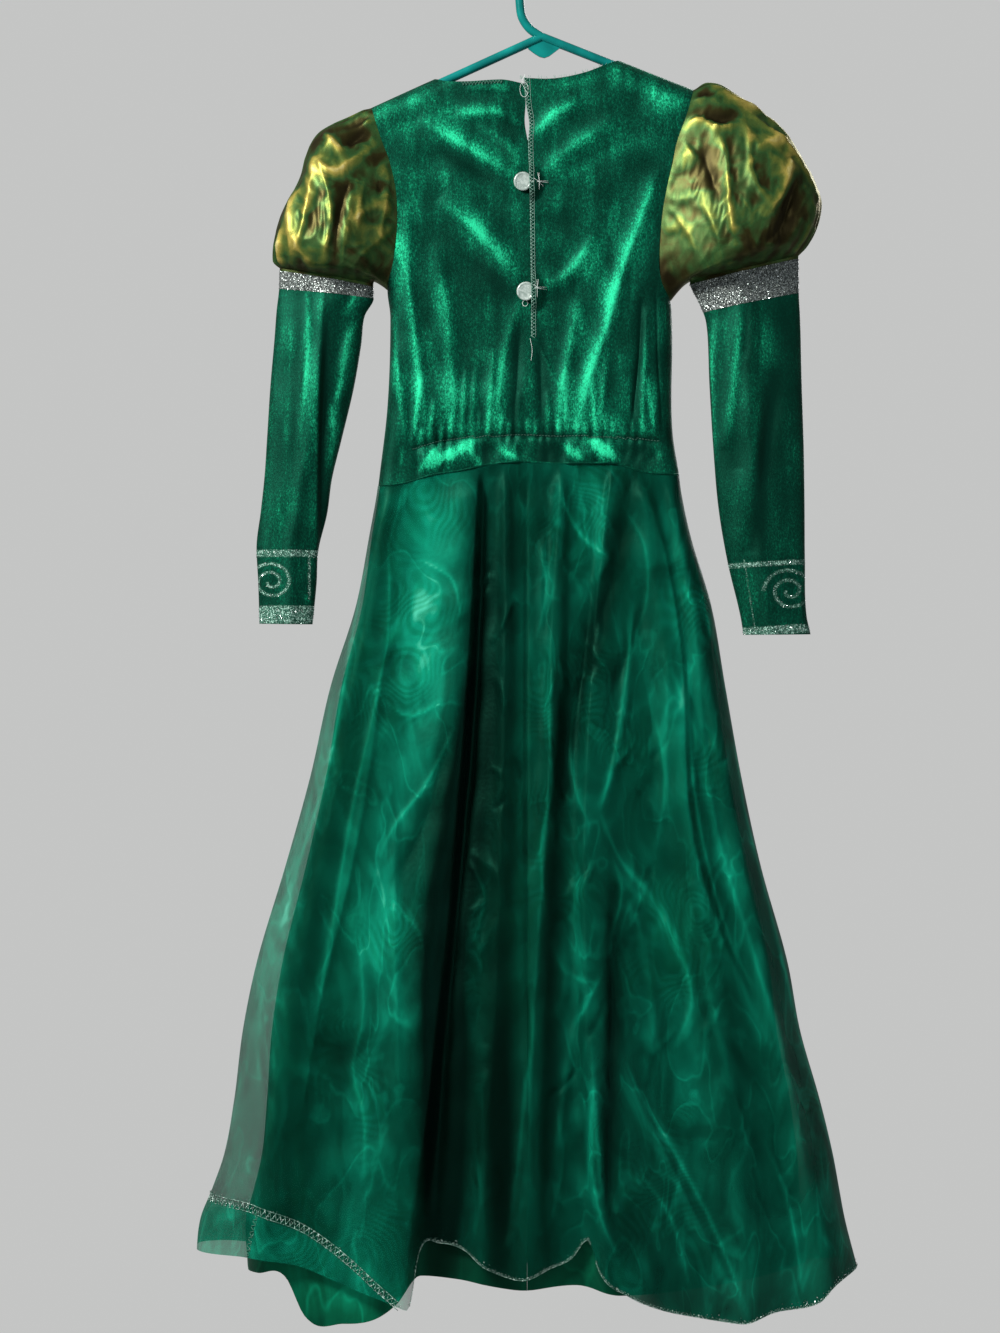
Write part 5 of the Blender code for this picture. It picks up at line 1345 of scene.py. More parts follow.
PUFF_RIDGES = [
    Ridge(3.0, 3, 4, [(300, 172), (293, 206), (292, 232), (296, 262)]),
    Ridge(4.0, 5, 4, [(316, 160), (311, 206), (303, 240), (300, 262)]),
    Ridge(4.2, 4, 3, [(321, 168), (331, 198), (334, 224), (322, 270)]),
    Ridge(-5.5, 5, 5, [(349, 182), (340, 228), (335, 268)]),
    Ridge(3.4, 3, 4, [(356, 182), (350, 224), (342, 272)]),
    Ridge(4.6, 4, 4, [(316, 162), (328, 174), (338, 178), (352, 168), (372, 152)]),
    Ridge(-4.5, 5, 5, [(340, 150), (354, 140), (369, 127)]),
    Ridge(3.2, 4, 4, [(322, 134), (334, 146), (344, 158)]),
    Ridge(3.6, 4, 3, [(392, 160), (386, 206), (379, 250)]),
    Ridge(2.8, 3, 3, [(366, 180), (361, 206), (358, 238)]),
    Ridge(2.8, 3, 3, [(352, 226), (366, 214), (382, 205)]),
    Ridge(4.2, 4, 4, [(394, 226), (371, 249), (350, 276)]),
    Ridge(3.4, 3, 3, [(295, 240), (308, 262), (322, 270)]),
    Ridge(2.6, 3, 3, [(283, 232), (282, 250), (286, 268)]),
    Ridge(-3.4, 4, 4, [(344, 250), (362, 262), (378, 272)]),
    Ridge(4.2, 4, 5, [(706, 89), (736, 105), (771, 119), (800, 160)]),
    Ridge(3.6, 2.6, 3, [(686, 124), (702, 126), (714, 135), (742, 126)]),
    Ridge(3.0, 3, 3, [(738, 108), (761, 129), (795, 162), (819, 204)]),
    Ridge(-4.6, 5, 5, [(704, 118), (722, 120), (738, 112)]),
    Ridge(3.0, 3, 3, [(742, 120), (747, 150), (750, 181), (770, 214)]),
    Ridge(3.2, 4, 4, [(748, 158), (762, 150), (788, 142)]),
    Ridge(5.0, 6, 5, [(788, 164), (779, 198), (760, 224)]),
    Ridge(-6.0, 8, 8, [(794, 176), (783, 226), (756, 254)]),
    Ridge(4.0, 4, 2.5, [(712, 132), (724, 160), (726, 200), (734, 250), (737, 264)]),
    Ridge(3.6, 4, 4, [(676, 146), (666, 186), (660, 268)]),
    Ridge(3.2, 3, 3, [(668, 208), (688, 236), (697, 268)]),
    Ridge(3.2, 3, 3, [(702, 206), (714, 236), (720, 264)]),
    Ridge(-4.0, 5, 5, [(700, 150), (710, 180), (716, 208)]),
    Ridge(2.8, 3, 3, [(682, 140), (690, 158), (698, 166)]),
    Ridge(-4.5, 6, 6, [(740, 230), (748, 250), (752, 262)]),
    Ridge(-5.0, 8, 5, [(664, 276), (678, 288), (686, 300)]),
]
# Painted shade at the underarm under the puffs and in their deepest hollows.
PUFF_SHADES = [
    Ridge(1.1, 10, 9, [(640, 250), (664, 276), (690, 316)]),
    Ridge(0.6, 4, 4, [(345, 190), (338, 228), (333, 276)]),
    Ridge(0.6, 5, 7, [(800, 170), (788, 220), (758, 262)]),
    Ridge(0.5, 4, 5, [(340, 150), (354, 140), (372, 124)]),
    Ridge(0.5, 4, 4, [(700, 112), (724, 118), (744, 108)]),
    Ridge(0.5, 4, 4, [(700, 150), (710, 184), (716, 215)]),
    Ridge(0.8, 6, 4, [(352, 264), (374, 272), (396, 290)]),
]


def outline(points):
    """x and z of a line of points, by the share of the way along it."""
    steps = [math.dist(a, b) for a, b in zip(points, points[1:])]
    places = np.concatenate([[0.0], np.cumsum(steps)]) / sum(steps)
    return (curve([(place, point.x) for place, point in zip(places, points)]),
            curve([(place, point.z) for place, point in zip(places, points)]))


def make_puff(word, points, outer, underarm_z, arm, seed):
    """A puff from armhole to band: w runs down the sleeve, and angle runs round it."""
    side = -1 if word == "left" else 1
    by_x, by_z = outline(points)
    full = curve(PUFF_DEPTH)
    w, angle = np.meshgrid(np.linspace(0, COLLAR_START, PUFF_ROWS),
                           np.linspace(0, 2 * math.pi, PUFF_COLUMNS, endpoint=False), indexing="ij")
    inner_x = mix(float(outer(underarm_z)), arm[0].x_in, w)
    inner_z = mix(underarm_z, arm[0].z - arm[0].drop + PUFF_INNER_RISE, w)
    reach = (1 - np.cos(angle)) / 2
    grid = as_grid(mix(by_x(w), inner_x, reach), -np.sin(angle) * full(w), mix(by_z(w), inner_z, reach))
    armhole_z = mix(points[0].z, underarm_z, reach[:1])
    armhole_x = outer(armhole_z)
    armhole_y = -np.sin(angle[:1]) / np.maximum(np.abs(np.sin(angle[:1])), 0.05)
    armhole = as_grid(armhole_x + side * ARMHOLE_GAP, armhole_y * bodice_depth(armhole_x, armhole_z),
                      armhole_z)
    band = arm_ring(arm, arm[0].z + 0 * angle[:1], angle[:1])
    band[..., 2] += SEAM_GAP
    collar = band + np.array([0.0, 0.0, COLLAR_HEIGHT])
    start, stop = grid[:1] - armhole, grid[-1:] - collar
    grid = grid - start * ((1 - w) ** ARMHOLE_BLEND)[..., None]
    grid = grid - stop * ((w / COLLAR_START) ** COLLAR_BLEND)[..., None]
    outward = grid - grid.mean(axis=1, keepdims=True)
    outward /= np.linalg.norm(outward, axis=-1, keepdims=True)
    free = smooth_step(w / 0.05) * smooth_step((COLLAR_START - w) / 0.035)
    open_side = 0.15 + 0.85 * (1 - reach)
    ends = bell(w, 0.16) + bell(1 - w, 0.18)
    gathers = 1.7 * np.cos(PUFF_GATHERS * angle + 1.2 * np.sin(3 * angle)) * ends
    big = 1.4 * np.cos(7 * angle + 2.5 * w) * np.sin(np.pi * w)
    near = smooth_step(np.sin(angle) * 3)
    plan_x, plan_z = grid[..., 0], grid[..., 2]
    seen_folds = ridges(PUFF_RIDGES, plan_x, plan_z, 1.3) * near * 1.25
    crisp = 1 - 1.6 * np.abs(soft_noise(plan_x, plan_z, 56, seed))
    crisp = crisp * mix(2.2, 0.7, near) + 0.9 * (0.5 - np.abs(soft_noise(plan_x, plan_z, 24, seed + 1)))
    crisp = crisp + 0.8 * (0.5 - np.abs(soft_noise(plan_x * 1.6, plan_z * 0.6, 14, seed + 2, 40)))
    crisp = crisp * np.abs(np.sin(angle)) ** 0.5
    relief = (gathers + big + seen_folds + crisp) * open_side * free
    grid = grid + outward * relief[..., None]
    grid = np.concatenate([grid, band])
    relief = np.concatenate([relief, 0 * relief[:1]])
    # Painted shade near the underarm, reaching round its edge; the crest paints light and shade from the
    # relief.
    dark = np.clip(ridges(PUFF_SHADES, plan_x, plan_z), 0, 1) * smooth_step(np.sin(angle) * 3 + 1)
    dark = np.concatenate([dark, dark[-1:]])
    marks = {"crest": np.clip(relief / PUFF_CREST, -1, 1), "shade": dark}
    cloth(f"puff_sleeve_{word}_lame", f"puff_sleeve_{word}", grid, LAME, lame,
          marks, closed=True, level_rows=(-1,))


make_puff("left", PUFF_LEFT, outer_left, UNDERARM_LEFT_Z, ARM_LEFT, 41)
make_puff("right", PUFF_RIGHT, outer_right, UNDERARM_RIGHT_Z, ARM_RIGHT, 43)

# %% [markdown]
# The hanger is one moulding of polypropylene: a round bar bent into a hook, two arms and a lower
# bar, with a small web under the joint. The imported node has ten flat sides, so a rounder one is
# swept along the same line and joined into one closed mesh by boolean unions.

# %% Hanger
TUBE_RADIUS, TUBE_SIDES, HOOK_RADIUS, END_RADIUS, WEB_THICKNESS = 3.7, 28, 18.7, 10.0, 3.0


def tube(points, radius, sides, cyclic=False):
    """Points and faces of a round tube along a line of points, in millimetres."""
    points = np.array(points, float)
    if cyclic:
        run = np.roll(points, -1, axis=0) - np.roll(points, 1, axis=0)
    else:
        run = np.gradient(points, axis=0)
    run /= np.linalg.norm(run, axis=1, keepdims=True)
    side = np.zeros_like(run)
    guess = np.array([0.0, 1.0, 0.0]) if abs(run[0][1]) < 0.9 else np.array([1.0, 0.0, 0.0])
    for k, direction in enumerate(run):
        guess = guess - direction * (guess @ direction)
        guess /= np.linalg.norm(guess)
        side[k] = guess
    other = np.cross(run, side)
    angle = 2 * math.pi * (np.arange(sides) + 0.5) / sides
    ring = (side[:, None] * np.sin(angle)[None, :, None] + other[:, None] * np.cos(angle)[None, :, None])
    verts = (points[:, None] + radius * ring).reshape(-1, 3)
    index = np.arange(len(points) * sides).reshape(len(points), sides)
    around = np.concatenate([index, index[:, :1]], axis=1)
    if cyclic:
        around = np.concatenate([around, around[:1]])
    faces = np.stack([around[:-1, :-1], around[1:, :-1], around[1:, 1:], around[:-1, 1:]], -1)
    faces = [list(face) for face in faces.reshape(-1, 4)]
    if not cyclic:
        faces += [list(index[0]), list(index[-1][::-1])]
    return verts, faces


def join_tubes(lines, radius, sides):
    """Several tubes as one list of points and faces."""
    verts, faces = [], []
    for points in lines:
        more, their = tube(points, radius, sides)
        faces += [[k + sum(map(len, verts)) for k in face] for face in their]
        verts.append(more)
    return np.concatenate(verts), faces


def plain_object(name, points, faces, material):
    """A smooth closed mesh, with its faces turned outward."""
    mesh = mesh_in_mm(name, points, [], [list(map(int, face)) for face in faces])
    mesh.materials.append(material)
    fixed = bmesh.new()
    fixed.from_mesh(mesh)
    bmesh.ops.recalc_face_normals(fixed, faces=fixed.faces)
    fixed.to_mesh(mesh)
    fixed.free()
    mesh.shade_smooth()
    return in_scene(name, mesh)


def round_corner(before, corner, after, radius, steps):
    """Points on an arc that rounds off a corner of a bent bar."""
    before, corner, after = (np.array(point, float) for point in (before, corner, after))
    to_before = (before - corner) / np.linalg.norm(before - corner)
    to_after = (after - corner) / np.linalg.norm(after - corner)
    half = math.acos(float(np.dot(to_before, to_after))) / 2
    middle = (to_before + to_after) / np.linalg.norm(to_before + to_after)
    centre = corner + middle * radius / math.sin(half)
    sweep = math.pi - 2 * half
    across_middle = to_after - middle * np.dot(to_after, middle)
    across_middle /= np.linalg.norm(across_middle)
    angles = [sweep * (k / steps - 0.5) for k in range(steps + 1)]
    return [centre + radius * (-middle * math.cos(a) + across_middle * math.sin(a)) for a in angles]


def in_plane(points):
    return [(point[0], 0.0, point[1]) for point in points]


joint = (0.0, JOINT_Z)
left_x = -(JOINT_Z - BAR_Z) / (ARM_SLOPE_LEFT - BAR_SLOPE)
right_x = (JOINT_Z - BAR_Z) / (ARM_SLOPE_RIGHT + BAR_SLOPE)
left_end, right_end = (left_x, BAR_Z + BAR_SLOPE * left_x), (right_x, BAR_Z + BAR_SLOPE * right_x)
loop = round_corner(left_end, joint, right_end, 4.0, 8)[::-1]
loop += round_corner(joint, left_end, right_end, END_RADIUS, 14)
loop += round_corner(left_end, right_end, joint, END_RADIUS, 14)
hanger = plain_object("hanger_moulding", *tube(in_plane(loop), TUBE_RADIUS, TUBE_SIDES, True), plastic)
hook_centre_z = TUBE_RADIUS - HOOK_RADIUS
hook = [(0.6, JOINT_Z - 0.8), (-11, JOINT_Z + 7.5), (-17, JOINT_Z + 17), (-HOOK_RADIUS, JOINT_Z + 27)]
for k in range(13):
    angle = math.pi * (1 - k / 12 * 1.08)
    hook.append((HOOK_RADIUS * math.cos(angle), hook_centre_z + HOOK_RADIUS * math.sin(angle)))
hook_line = in_plane(smooth_path(hook, 80))
hook_part = plain_object("hook_part", *tube(hook_line, TUBE_RADIUS, TUBE_SIDES), plastic)
web = [(-13, -6.5), (-11.5, -10.5), (-6, -14.6), (-2, -17), (2, -18), (6, -16.5), (11, -12.8), (16, -9),
       (14.5, -6), (0, 0)]
web_points = [(x, y, JOINT_Z + z) for y in (-WEB_THICKNESS / 2, WEB_THICKNESS / 2) for x, z in web]
count = len(web)
web_faces = [list(range(count)), list(range(2 * count - 1, count - 1, -1))]
web_faces += [[k, (k + 1) % count, (k + 1) % count + count, k + count] for k in range(count)]
web_part = plain_object("web_part", web_points, web_faces, plastic)
for part in (hook_part, web_part):
    union = hanger.modifiers.new("join", "BOOLEAN")
    union.operation, union.object = "UNION", part
graph = bpy.context.evaluated_depsgraph_get()
joined = bpy.data.meshes.new_from_object(hanger.evaluated_get(graph))
hanger.modifiers.clear()
hanger.data = joined
for part in (hook_part, web_part):
    bpy.data.objects.remove(part, do_unlink=True)
hanger.data.shade_smooth()
hanger.data.set_sharp_from_angle(angle=math.radians(40))
belongs(hanger, "hanger")
print("hanger faces:", len(hanger.data.polygons))

# %% [markdown]
# The buttons are small pearl discs. A button like this is turned or moulded with a rounded rim, a
# groove inside the rim and a shallow dish. The profile is spun round the button's axis, and the
# lower one hangs tilted on its thread. A loose button could slide out of its loop or turn on its
# thread, but here both stay as the photograph shows them.

# %% Buttons
BUTTON_PROFILE = [
    (0.0, 0.0), (6.9, 0.0), (7.6, 0.2), (7.95, 0.7), (8.0, 1.2), (7.8, 1.75), (7.2, 2.15), (6.5, 2.2),
    (6.0, 2.0), (5.6, 1.75), (5.2, 1.8), (4.2, 1.68), (2.2, 1.6), (0.0, 1.58)]
BUTTON_SIDES, TILTED_BUTTON_SETTLES = 56, 0.6


def make_button(name, tilt):
    """Spin the profile (radius, height) round the button's axis and lean it by some degrees."""
    low, high = (np.array(corner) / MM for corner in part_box(name))
    middle = (low + high) / 2
    sides = BUTTON_SIDES
    angle = 2 * math.pi * np.arange(sides) / sides
    rings = [np.stack([r * np.cos(angle), 0 * angle - h, r * np.sin(angle)], -1)
             for r, h in BUTTON_PROFILE[1:-1]]
    verts = np.concatenate([[[0, -BUTTON_PROFILE[0][1], 0]], *rings, [[0, -BUTTON_PROFILE[-1][1], 0]]])
    faces, last = [], len(verts) - 1
    for k in range(sides):
        n = (k + 1) % sides
        faces.append([0, 1 + n, 1 + k])
        faces.append([last, last - sides + k, last - sides + n])
        for ring in range(len(rings) - 1):
            a = 1 + ring * sides
            faces.append([a + k, a + n, a + sides + n, a + sides + k])
    turn = math.radians(tilt)
    leant = verts.copy()
    leant[:, 1] = verts[:, 1] * math.cos(turn) + verts[:, 0] * math.sin(turn)
    leant[:, 0] = verts[:, 0] * math.cos(turn) - verts[:, 1] * math.sin(turn)
    leant += np.array([middle[0], high[1] - (TILTED_BUTTON_SETTLES if tilt else 0.0), middle[2]])
    belongs(plain_object(f"{name}_pearl", leant, faces, pearl), name)
    print(name, "faces:", len(faces))


make_button("button_upper", 0.0)
make_button("button_lower", -6.0)

# %% [markdown]
# Sewing is many equal stitches along a line, which is work for Geometry Nodes. A path is a line of
# points that lie just over the cloth, each with its outward direction. The tree spaces points
# along the path evenly and sets one small arc of thread on each, leaning left and right in turn.
# That gives the zigzag of an overlock. The result is turned into a plain mesh.


# %% A tree for stitches
def new_tree(name, inputs):
    """A geometry tree, the keys of its inputs, and its node of inputs."""
    tree = bpy.data.node_groups.new(name, "GeometryNodeTree")
    tree.interface.new_socket("Geometry", in_out="INPUT", socket_type="NodeSocketGeometry")
    keys = {}
    for word, (kind, value) in inputs.items():
        socket = tree.interface.new_socket(word, in_out="INPUT", socket_type=kind)
        if value is not None:
            socket.default_value = value
        keys[word] = socket.identifier
    tree.interface.new_socket("Geometry", in_out="OUTPUT", socket_type="NodeSocketGeometry")
    return tree, keys, tree.nodes.new("NodeGroupInput")


FLOAT = "NodeSocketFloat"
stitches, stitch_keys, given = new_tree("stitches_along_a_path", {
    "Spacing": (FLOAT, 0.0015), "Length": (FLOAT, 0.005), "Rise": (FLOAT, 0.0006),
    "Thread": (FLOAT, 0.00025), "Slant": (FLOAT, 0.5), "Material": ("NodeSocketMaterial", None)})
path_curve = add(stitches, "GeometryNodeMeshToCurve", _0=given.outputs["Geometry"])
even = add(stitches, "GeometryNodeResampleCurve", {"mode": "LENGTH"}, Curve=path_curve,
           Length=given.outputs["Spacing"])
half = numbers(stitches, "MULTIPLY", given.outputs["Length"], 0.5)
minus = numbers(stitches, "MULTIPLY", half, -1.0)
start = add(stitches, "ShaderNodeCombineXYZ", X=minus)
top = add(stitches, "ShaderNodeCombineXYZ", Z=numbers(stitches, "MULTIPLY", given.outputs["Rise"], 2.0))
stop = add(stitches, "ShaderNodeCombineXYZ", X=half)
arc = add(stitches, "GeometryNodeCurveQuadraticBezier", _0=4, Start=start, Middle=top, End=stop)
ring = add(stitches, "GeometryNodeCurvePrimitiveCircle", Resolution=5, Radius=given.outputs["Thread"])
thread_mesh = add(stitches, "GeometryNodeCurveToMesh", Curve=arc, Profile_Curve=ring, Fill_Caps=True)
out = add(stitches, "GeometryNodeInputNamedAttribute", {"data_type": "FLOAT_VECTOR"}, Name="out").outputs[0]
aim_out = add(stitches, "FunctionNodeAlignRotationToVector", {"axis": "Z"}, Vector=out)
aim_along = add(stitches, "FunctionNodeAlignRotationToVector", {"axis": "Y", "pivot_axis": "Z"},
                Rotation=aim_out, Vector=add(stitches, "GeometryNodeInputTangent"))
odd = numbers(stitches, "MODULO", add(stitches, "GeometryNodeInputIndex"), 2.0)
odd = numbers(stitches, "SUBTRACT", numbers(stitches, "MULTIPLY", odd, 2.0), 1.0)
lean = numbers(stitches, "MULTIPLY", odd, given.outputs["Slant"])
spin = add(stitches, "ShaderNodeCombineXYZ", Z=lean)
turned = add(stitches, "FunctionNodeRotateRotation", {"rotation_space": "LOCAL"}, Rotation=aim_along,
             Rotate_By=add(stitches, "FunctionNodeEulerToRotation", Euler=spin))
placed = add(stitches, "GeometryNodeInstanceOnPoints", Points=even, Instance=thread_mesh, Rotation=turned)
real = add(stitches, "GeometryNodeRealizeInstances", Geometry=placed)
coloured = add(stitches, "GeometryNodeSetMaterial", Geometry=real, Material=given.outputs["Material"])
add(stitches, "NodeGroupOutput", Geometry=coloured)


def run_tree(mesh, tree, keys, values, name):
    """Run a tree on a mesh and keep the result as a plain piece."""
    carrier = in_scene("carrier", mesh)
    modifier = carrier.modifiers.new(tree.name, "NODES")
    modifier.node_group = tree
    for key, value in zip(keys.values(), values):
        modifier[key] = value
    graph = bpy.context.evaluated_depsgraph_get()
    made = bpy.data.meshes.new_from_object(carrier.evaluated_get(graph))
    carrier.modifiers.clear()
    bpy.data.objects.remove(carrier, do_unlink=True)
    made.shade_smooth()
    print(f"{name}: {len(made.polygons)} faces")
    return belongs(in_scene(name, made))


def sew(name, path, out, material, spacing, length, rise, thread, slant):
    """Stitches along a path; sizes are in millimetres, and the slant is in radians."""
    mesh = mesh_in_mm("path", path, [(k, k + 1) for k in range(len(path) - 1)], [])
    layer = mesh.attributes.new("out", "FLOAT_VECTOR", "POINT")
    layer.data.foreach_set("vector", np.asarray(out, np.float32).reshape(-1))
    values = [spacing * MM, length * MM, rise * MM, thread * MM, slant, material]
    run_tree(mesh, stitches, stitch_keys, values, name)


def on_cloth(name, rows, columns, lift):
    """A path over a cloth piece, by rows and columns of its grid, and its outward directions."""
    grid, normals = surfaces[name]
    points, out = grid[rows, columns], normals[rows, columns]
    if name.endswith(("left_velvet", "right_velvet")) or "_back_" in name:
        out = out * -np.sign(out[..., 1:2] + 1e-9)
    return points + out * lift, out


def laid_on(name, x, z, lift):
    """A path over a cloth piece at given x and z, and its outward directions."""
    grid, normals = (values.reshape(-1, 3) for values in surfaces[name])
    nearest = [int(np.argmin((grid[:, 0] - a) ** 2 + (grid[:, 2] - b) ** 2)) for a, b in zip(x, z)]
    out = normals[nearest] * -np.sign(normals[nearest, 1:2] + 1e-9)
    return np.stack([x, grid[nearest, 1], z], axis=-1) + out * lift, out


print("stitch tree nodes:", len(stitches.nodes))

# %% [markdown]
# The right back panel laps over the left one. Its raw edge is overlocked with a pale grey-green
# thread from the neck to a little below the lower button. The overlock has cross threads and two
# chains beside them.

# %% Overlock of the back opening
OPENING_END_Z = from_photo(531, 340)[1]
OVERLOCK_COLUMN, OVERLOCK_CHAINS = 2, (0, 5)
opening_grid = surfaces["back_bodice_right_velvet"][0]
opening_rows = np.nonzero(opening_grid[:, 0, 2] > OPENING_END_Z)[0]
path, out = on_cloth("back_bodice_right_velvet", opening_rows, OVERLOCK_COLUMN, VELVET / 2 + 0.25)
sew("opening_overlock", path, out, overlock_thread,
    spacing=1.5, length=3.8, rise=0.35, thread=0.2, slant=0.6)
chains = []
for index in OVERLOCK_CHAINS:
    chain, _ = on_cloth("back_bodice_right_velvet", opening_rows, index, VELVET / 2 + 0.35)
    chains.append(chain + np.array([0.4 if index == 0 else 0.0, 0, 0]))


def threads(name, lines, radius, material, sides=6):
    """Round threads along some lines, as one piece."""
    item = belongs(plain_object(name, *join_tubes(lines, radius, sides), material))
    print(f"{name}: {len(item.data.polygons)} faces")


threads("opening_chains", chains, 0.2, overlock_thread)

# %% [markdown]
# Loose work shows where the gown was finished by hand: a bar tack beside each button, a thread
# loop under the lower one, a loop and a stray end at the neck, and short frayed ends along the
# right half of the neck edge. Each is a thin round thread on a short smooth path.

# %% Bar tacks, loops and frayed ends
def back_at(column_px, row_px, lift):
    """A point over the back of the bodice at a photo pixel."""
    x, z = from_photo(column_px, row_px)
    depth, _ = back_bodice(np.array([x]), np.array([z]))
    depth = depth + placket_lift(np.array([x]), np.array([z])) * (x > float(centre_back(z)))
    return np.array([x, -(depth[0] + SEAM_GAP / 2 + VELVET / 2 + lift), z])


def smooth_thread(points, count=12):
    points = np.array(points, float)
    steps = np.concatenate([[0.0], np.cumsum(np.linalg.norm(np.diff(points, axis=0), axis=1))])
    share = np.linspace(0, steps[-1], count)
    return np.stack([curve(list(zip(steps, points[:, k])))(share) for k in range(3)], axis=-1)


tack_rng = np.random.default_rng(5)
tacks = []
for column_px, row_px in ((539, 184), (537, 290)):
    for wide, tall in ((9.5, 0), (9.5, 0), (0, 8.5), (0, 8.5), (4, 3)):
        wobble = tack_rng.uniform(-1.6, 1.6, 2)
        ends = [(column_px - wide + wobble[0], row_px - tall), (column_px, row_px + wobble[1] * 0.4),
                (column_px + wide, row_px + tall + wobble[1])]
        tacks.append(smooth_thread([back_at(*end, 0.5 + 0.35 * (k == 1)) for k, end in enumerate(ends)], 8))
threads("bar_tacks", tacks, 0.14, white_thread)

loops = []
for middle_px, reach_x, reach_z in (((524, 92), 4.2, 7.5), ((525, 305), 2.6, 3.0)):
    turn = np.linspace(0.3, 2 * math.pi + 0.1, 22)
    ring_points = [back_at(middle_px[0] + reach_x * math.cos(t), middle_px[1] + reach_z * math.sin(t),
                           0.8 + 0.6 * math.sin(t) ** 2) for t in turn]
    loops.append(np.array(ring_points))
loops.append(smooth_thread([back_at(527, 96, 0.8), back_at(523, 88, 1.5), back_at(522, 85, 2.2),
                            back_at(525, 85, 2.2) + np.array([0, -0.5, 6.5])]))
loops.append(smooth_thread([back_at(530, 340, 0.5), back_at(532, 352, 0.8), back_at(531, 362, 0.6)]))
threads("thread_loops", loops, 0.16, white_thread)

frayed = []
for k in range(46):
    column_px = tack_rng.uniform(520, 612)
    x = from_photo(column_px, 0)[0]
    z = float(across(BACK_NECK_RIGHT)(x))
    root = np.array([x, -(float(bodice_depth(np.array([x]), np.array([z - 0.5]))[0]) + 0.4), z])
    reach = tack_rng.uniform(0.8, 2.8)
    sway = tack_rng.uniform(-1.2, 1.2, 2)
    steps = [(0, 0, -0.8), (sway[0] * 0.4, -0.3, reach * 0.6), (sway[0], -0.5 + sway[1] * 0.3, reach)]
    frayed.append(smooth_thread([root + np.array(step) for step in steps], 6))
threads("frayed_neck_ends", frayed, 0.13, overlock_thread, 5)

# %% [markdown]
# The other seams: a dark overlock on the rolled left half of the neck, a small roll where the
# bodice meets the skirt, and running stitches in the elastic casing.

# %% Neck, waist and elastic seams
left_grid = surfaces["back_bodice_left_velvet"][0]
neck_columns = np.nonzero((left_grid[0, :, 0] < -34) & (left_grid[0, :, 0] > -68))[0]
path, out = on_cloth("back_bodice_left_velvet", 1, neck_columns, VELVET / 2 + 0.3)
sew("neck_overlock_left", path, out, dark_thread,
    spacing=1.3, length=3.4, rise=0.5, thread=0.3, slant=0.4)

seam_lines = []
for word in ("left", "right"):
    name = f"back_bodice_{word}_velvet"
    grid = surfaces[name][0]
    inner_columns = np.arange(0, grid.shape[1] - 6)
    roll, _ = on_cloth(name, -1, inner_columns, 0.15)
    seam_lines.append(roll + np.array([0, 0, -0.2]))
    nearest = np.argmin(np.abs(grid[:, :, 2] - elastic(grid[:, :, 0])), axis=0)
    held = np.nonzero((grid[0, :, 0] > GATHER_LEFT_X - 6) & (grid[0, :, 0] < GATHER_RIGHT_X + 10))[0]
    path, out = on_cloth(name, nearest[held], held, VELVET / 2 + 0.1)
    sew(f"elastic_stitches_{word}", path, out, dark_thread,
        spacing=2.6, length=1.6, rise=0.3, thread=0.22, slant=1.45)
threads("waist_seam_roll", seam_lines, 0.95, velvet, 8)

# %% [markdown]
# The overlay's hem is overlocked with a thread that carries a metal filament. On the left the hem
# is turned up to the outside, so its raw edge crosses the skirt with a wide open overlock, and a
# short seam joins it to the fold. Elsewhere the hem is a narrow roll with a fine chain.

# %% Hem stitches of the overlay
hem_x = np.arange(-283.0, TURNED_UP_TO_X - 7.0, 1.0)
path, out = laid_on("skirt_overlay_back_left_cloth", hem_x, raw_hem(hem_x), ORGANZA / 2 + 0.35)
sew("hem_overlock_wide", path, out, metal_thread,
    spacing=2.3, length=7.0, rise=0.5, thread=0.26, slant=0.4)
lines = [path + np.array([0, 0, shift]) for shift in (3.6, -3.4)]
threads("hem_chains_wide", lines, 0.26, metal_thread)

top_x, top_z = from_photo(262, 1205)
low_x, low_z = from_photo(250, 1249)
share = np.linspace(0, 1, 40)
path, out = laid_on("skirt_overlay_back_left_cloth", mix(top_x, low_x, share ** 0.7),
                    mix(top_z, low_z, share), ORGANZA / 2 + 0.3)
sew("hem_short_seam", path, out, dark_thread,
    spacing=2.6, length=3.4, rise=0.4, thread=0.3, slant=0.5)
threads("hem_short_chain", [path + np.array([1.6, 0, 0])], 0.24, metal_thread)

for word, low, high in (("left", TURNED_UP_TO_X + 1, 0), ("right", -20, 43), ("right", 44, 300)):
    name = f"skirt_overlay_back_{word}_cloth"
    grid = surfaces[name][0]
    wanted = np.nonzero((grid[-1, :, 0] > low) & (grid[-1, :, 0] < high))[0]
    if grid[-1, wanted[0], 0] > grid[-1, wanted[-1], 0]:
        wanted = wanted[::-1]
    path, out = on_cloth(name, -1, wanted, ORGANZA / 2 + 0.35)
    path[:, 2] += 1.6
    label = f"{word}_{abs(int(low))}"
    sew(f"hem_overlock_{label}", path, out, metal_thread,
        spacing=1.6, length=2.2, rise=0.3, thread=0.16, slant=0.5)
    threads(f"hem_chain_{label}", [path + np.array([0, 0, -1.2])], 0.2, metal_thread)

# %% [markdown]
# Glitter is foil cut into tiny hexagons and glued down, no two at the same tilt. A second tree
# scatters them: random points on a surface, as dense as its glitter attribute says, with a flat
# hexagon on each one, turned and tilted at random. The flakes are drawn a little larger than the
# real 0.4 mm ones, so that they still show as sparks.

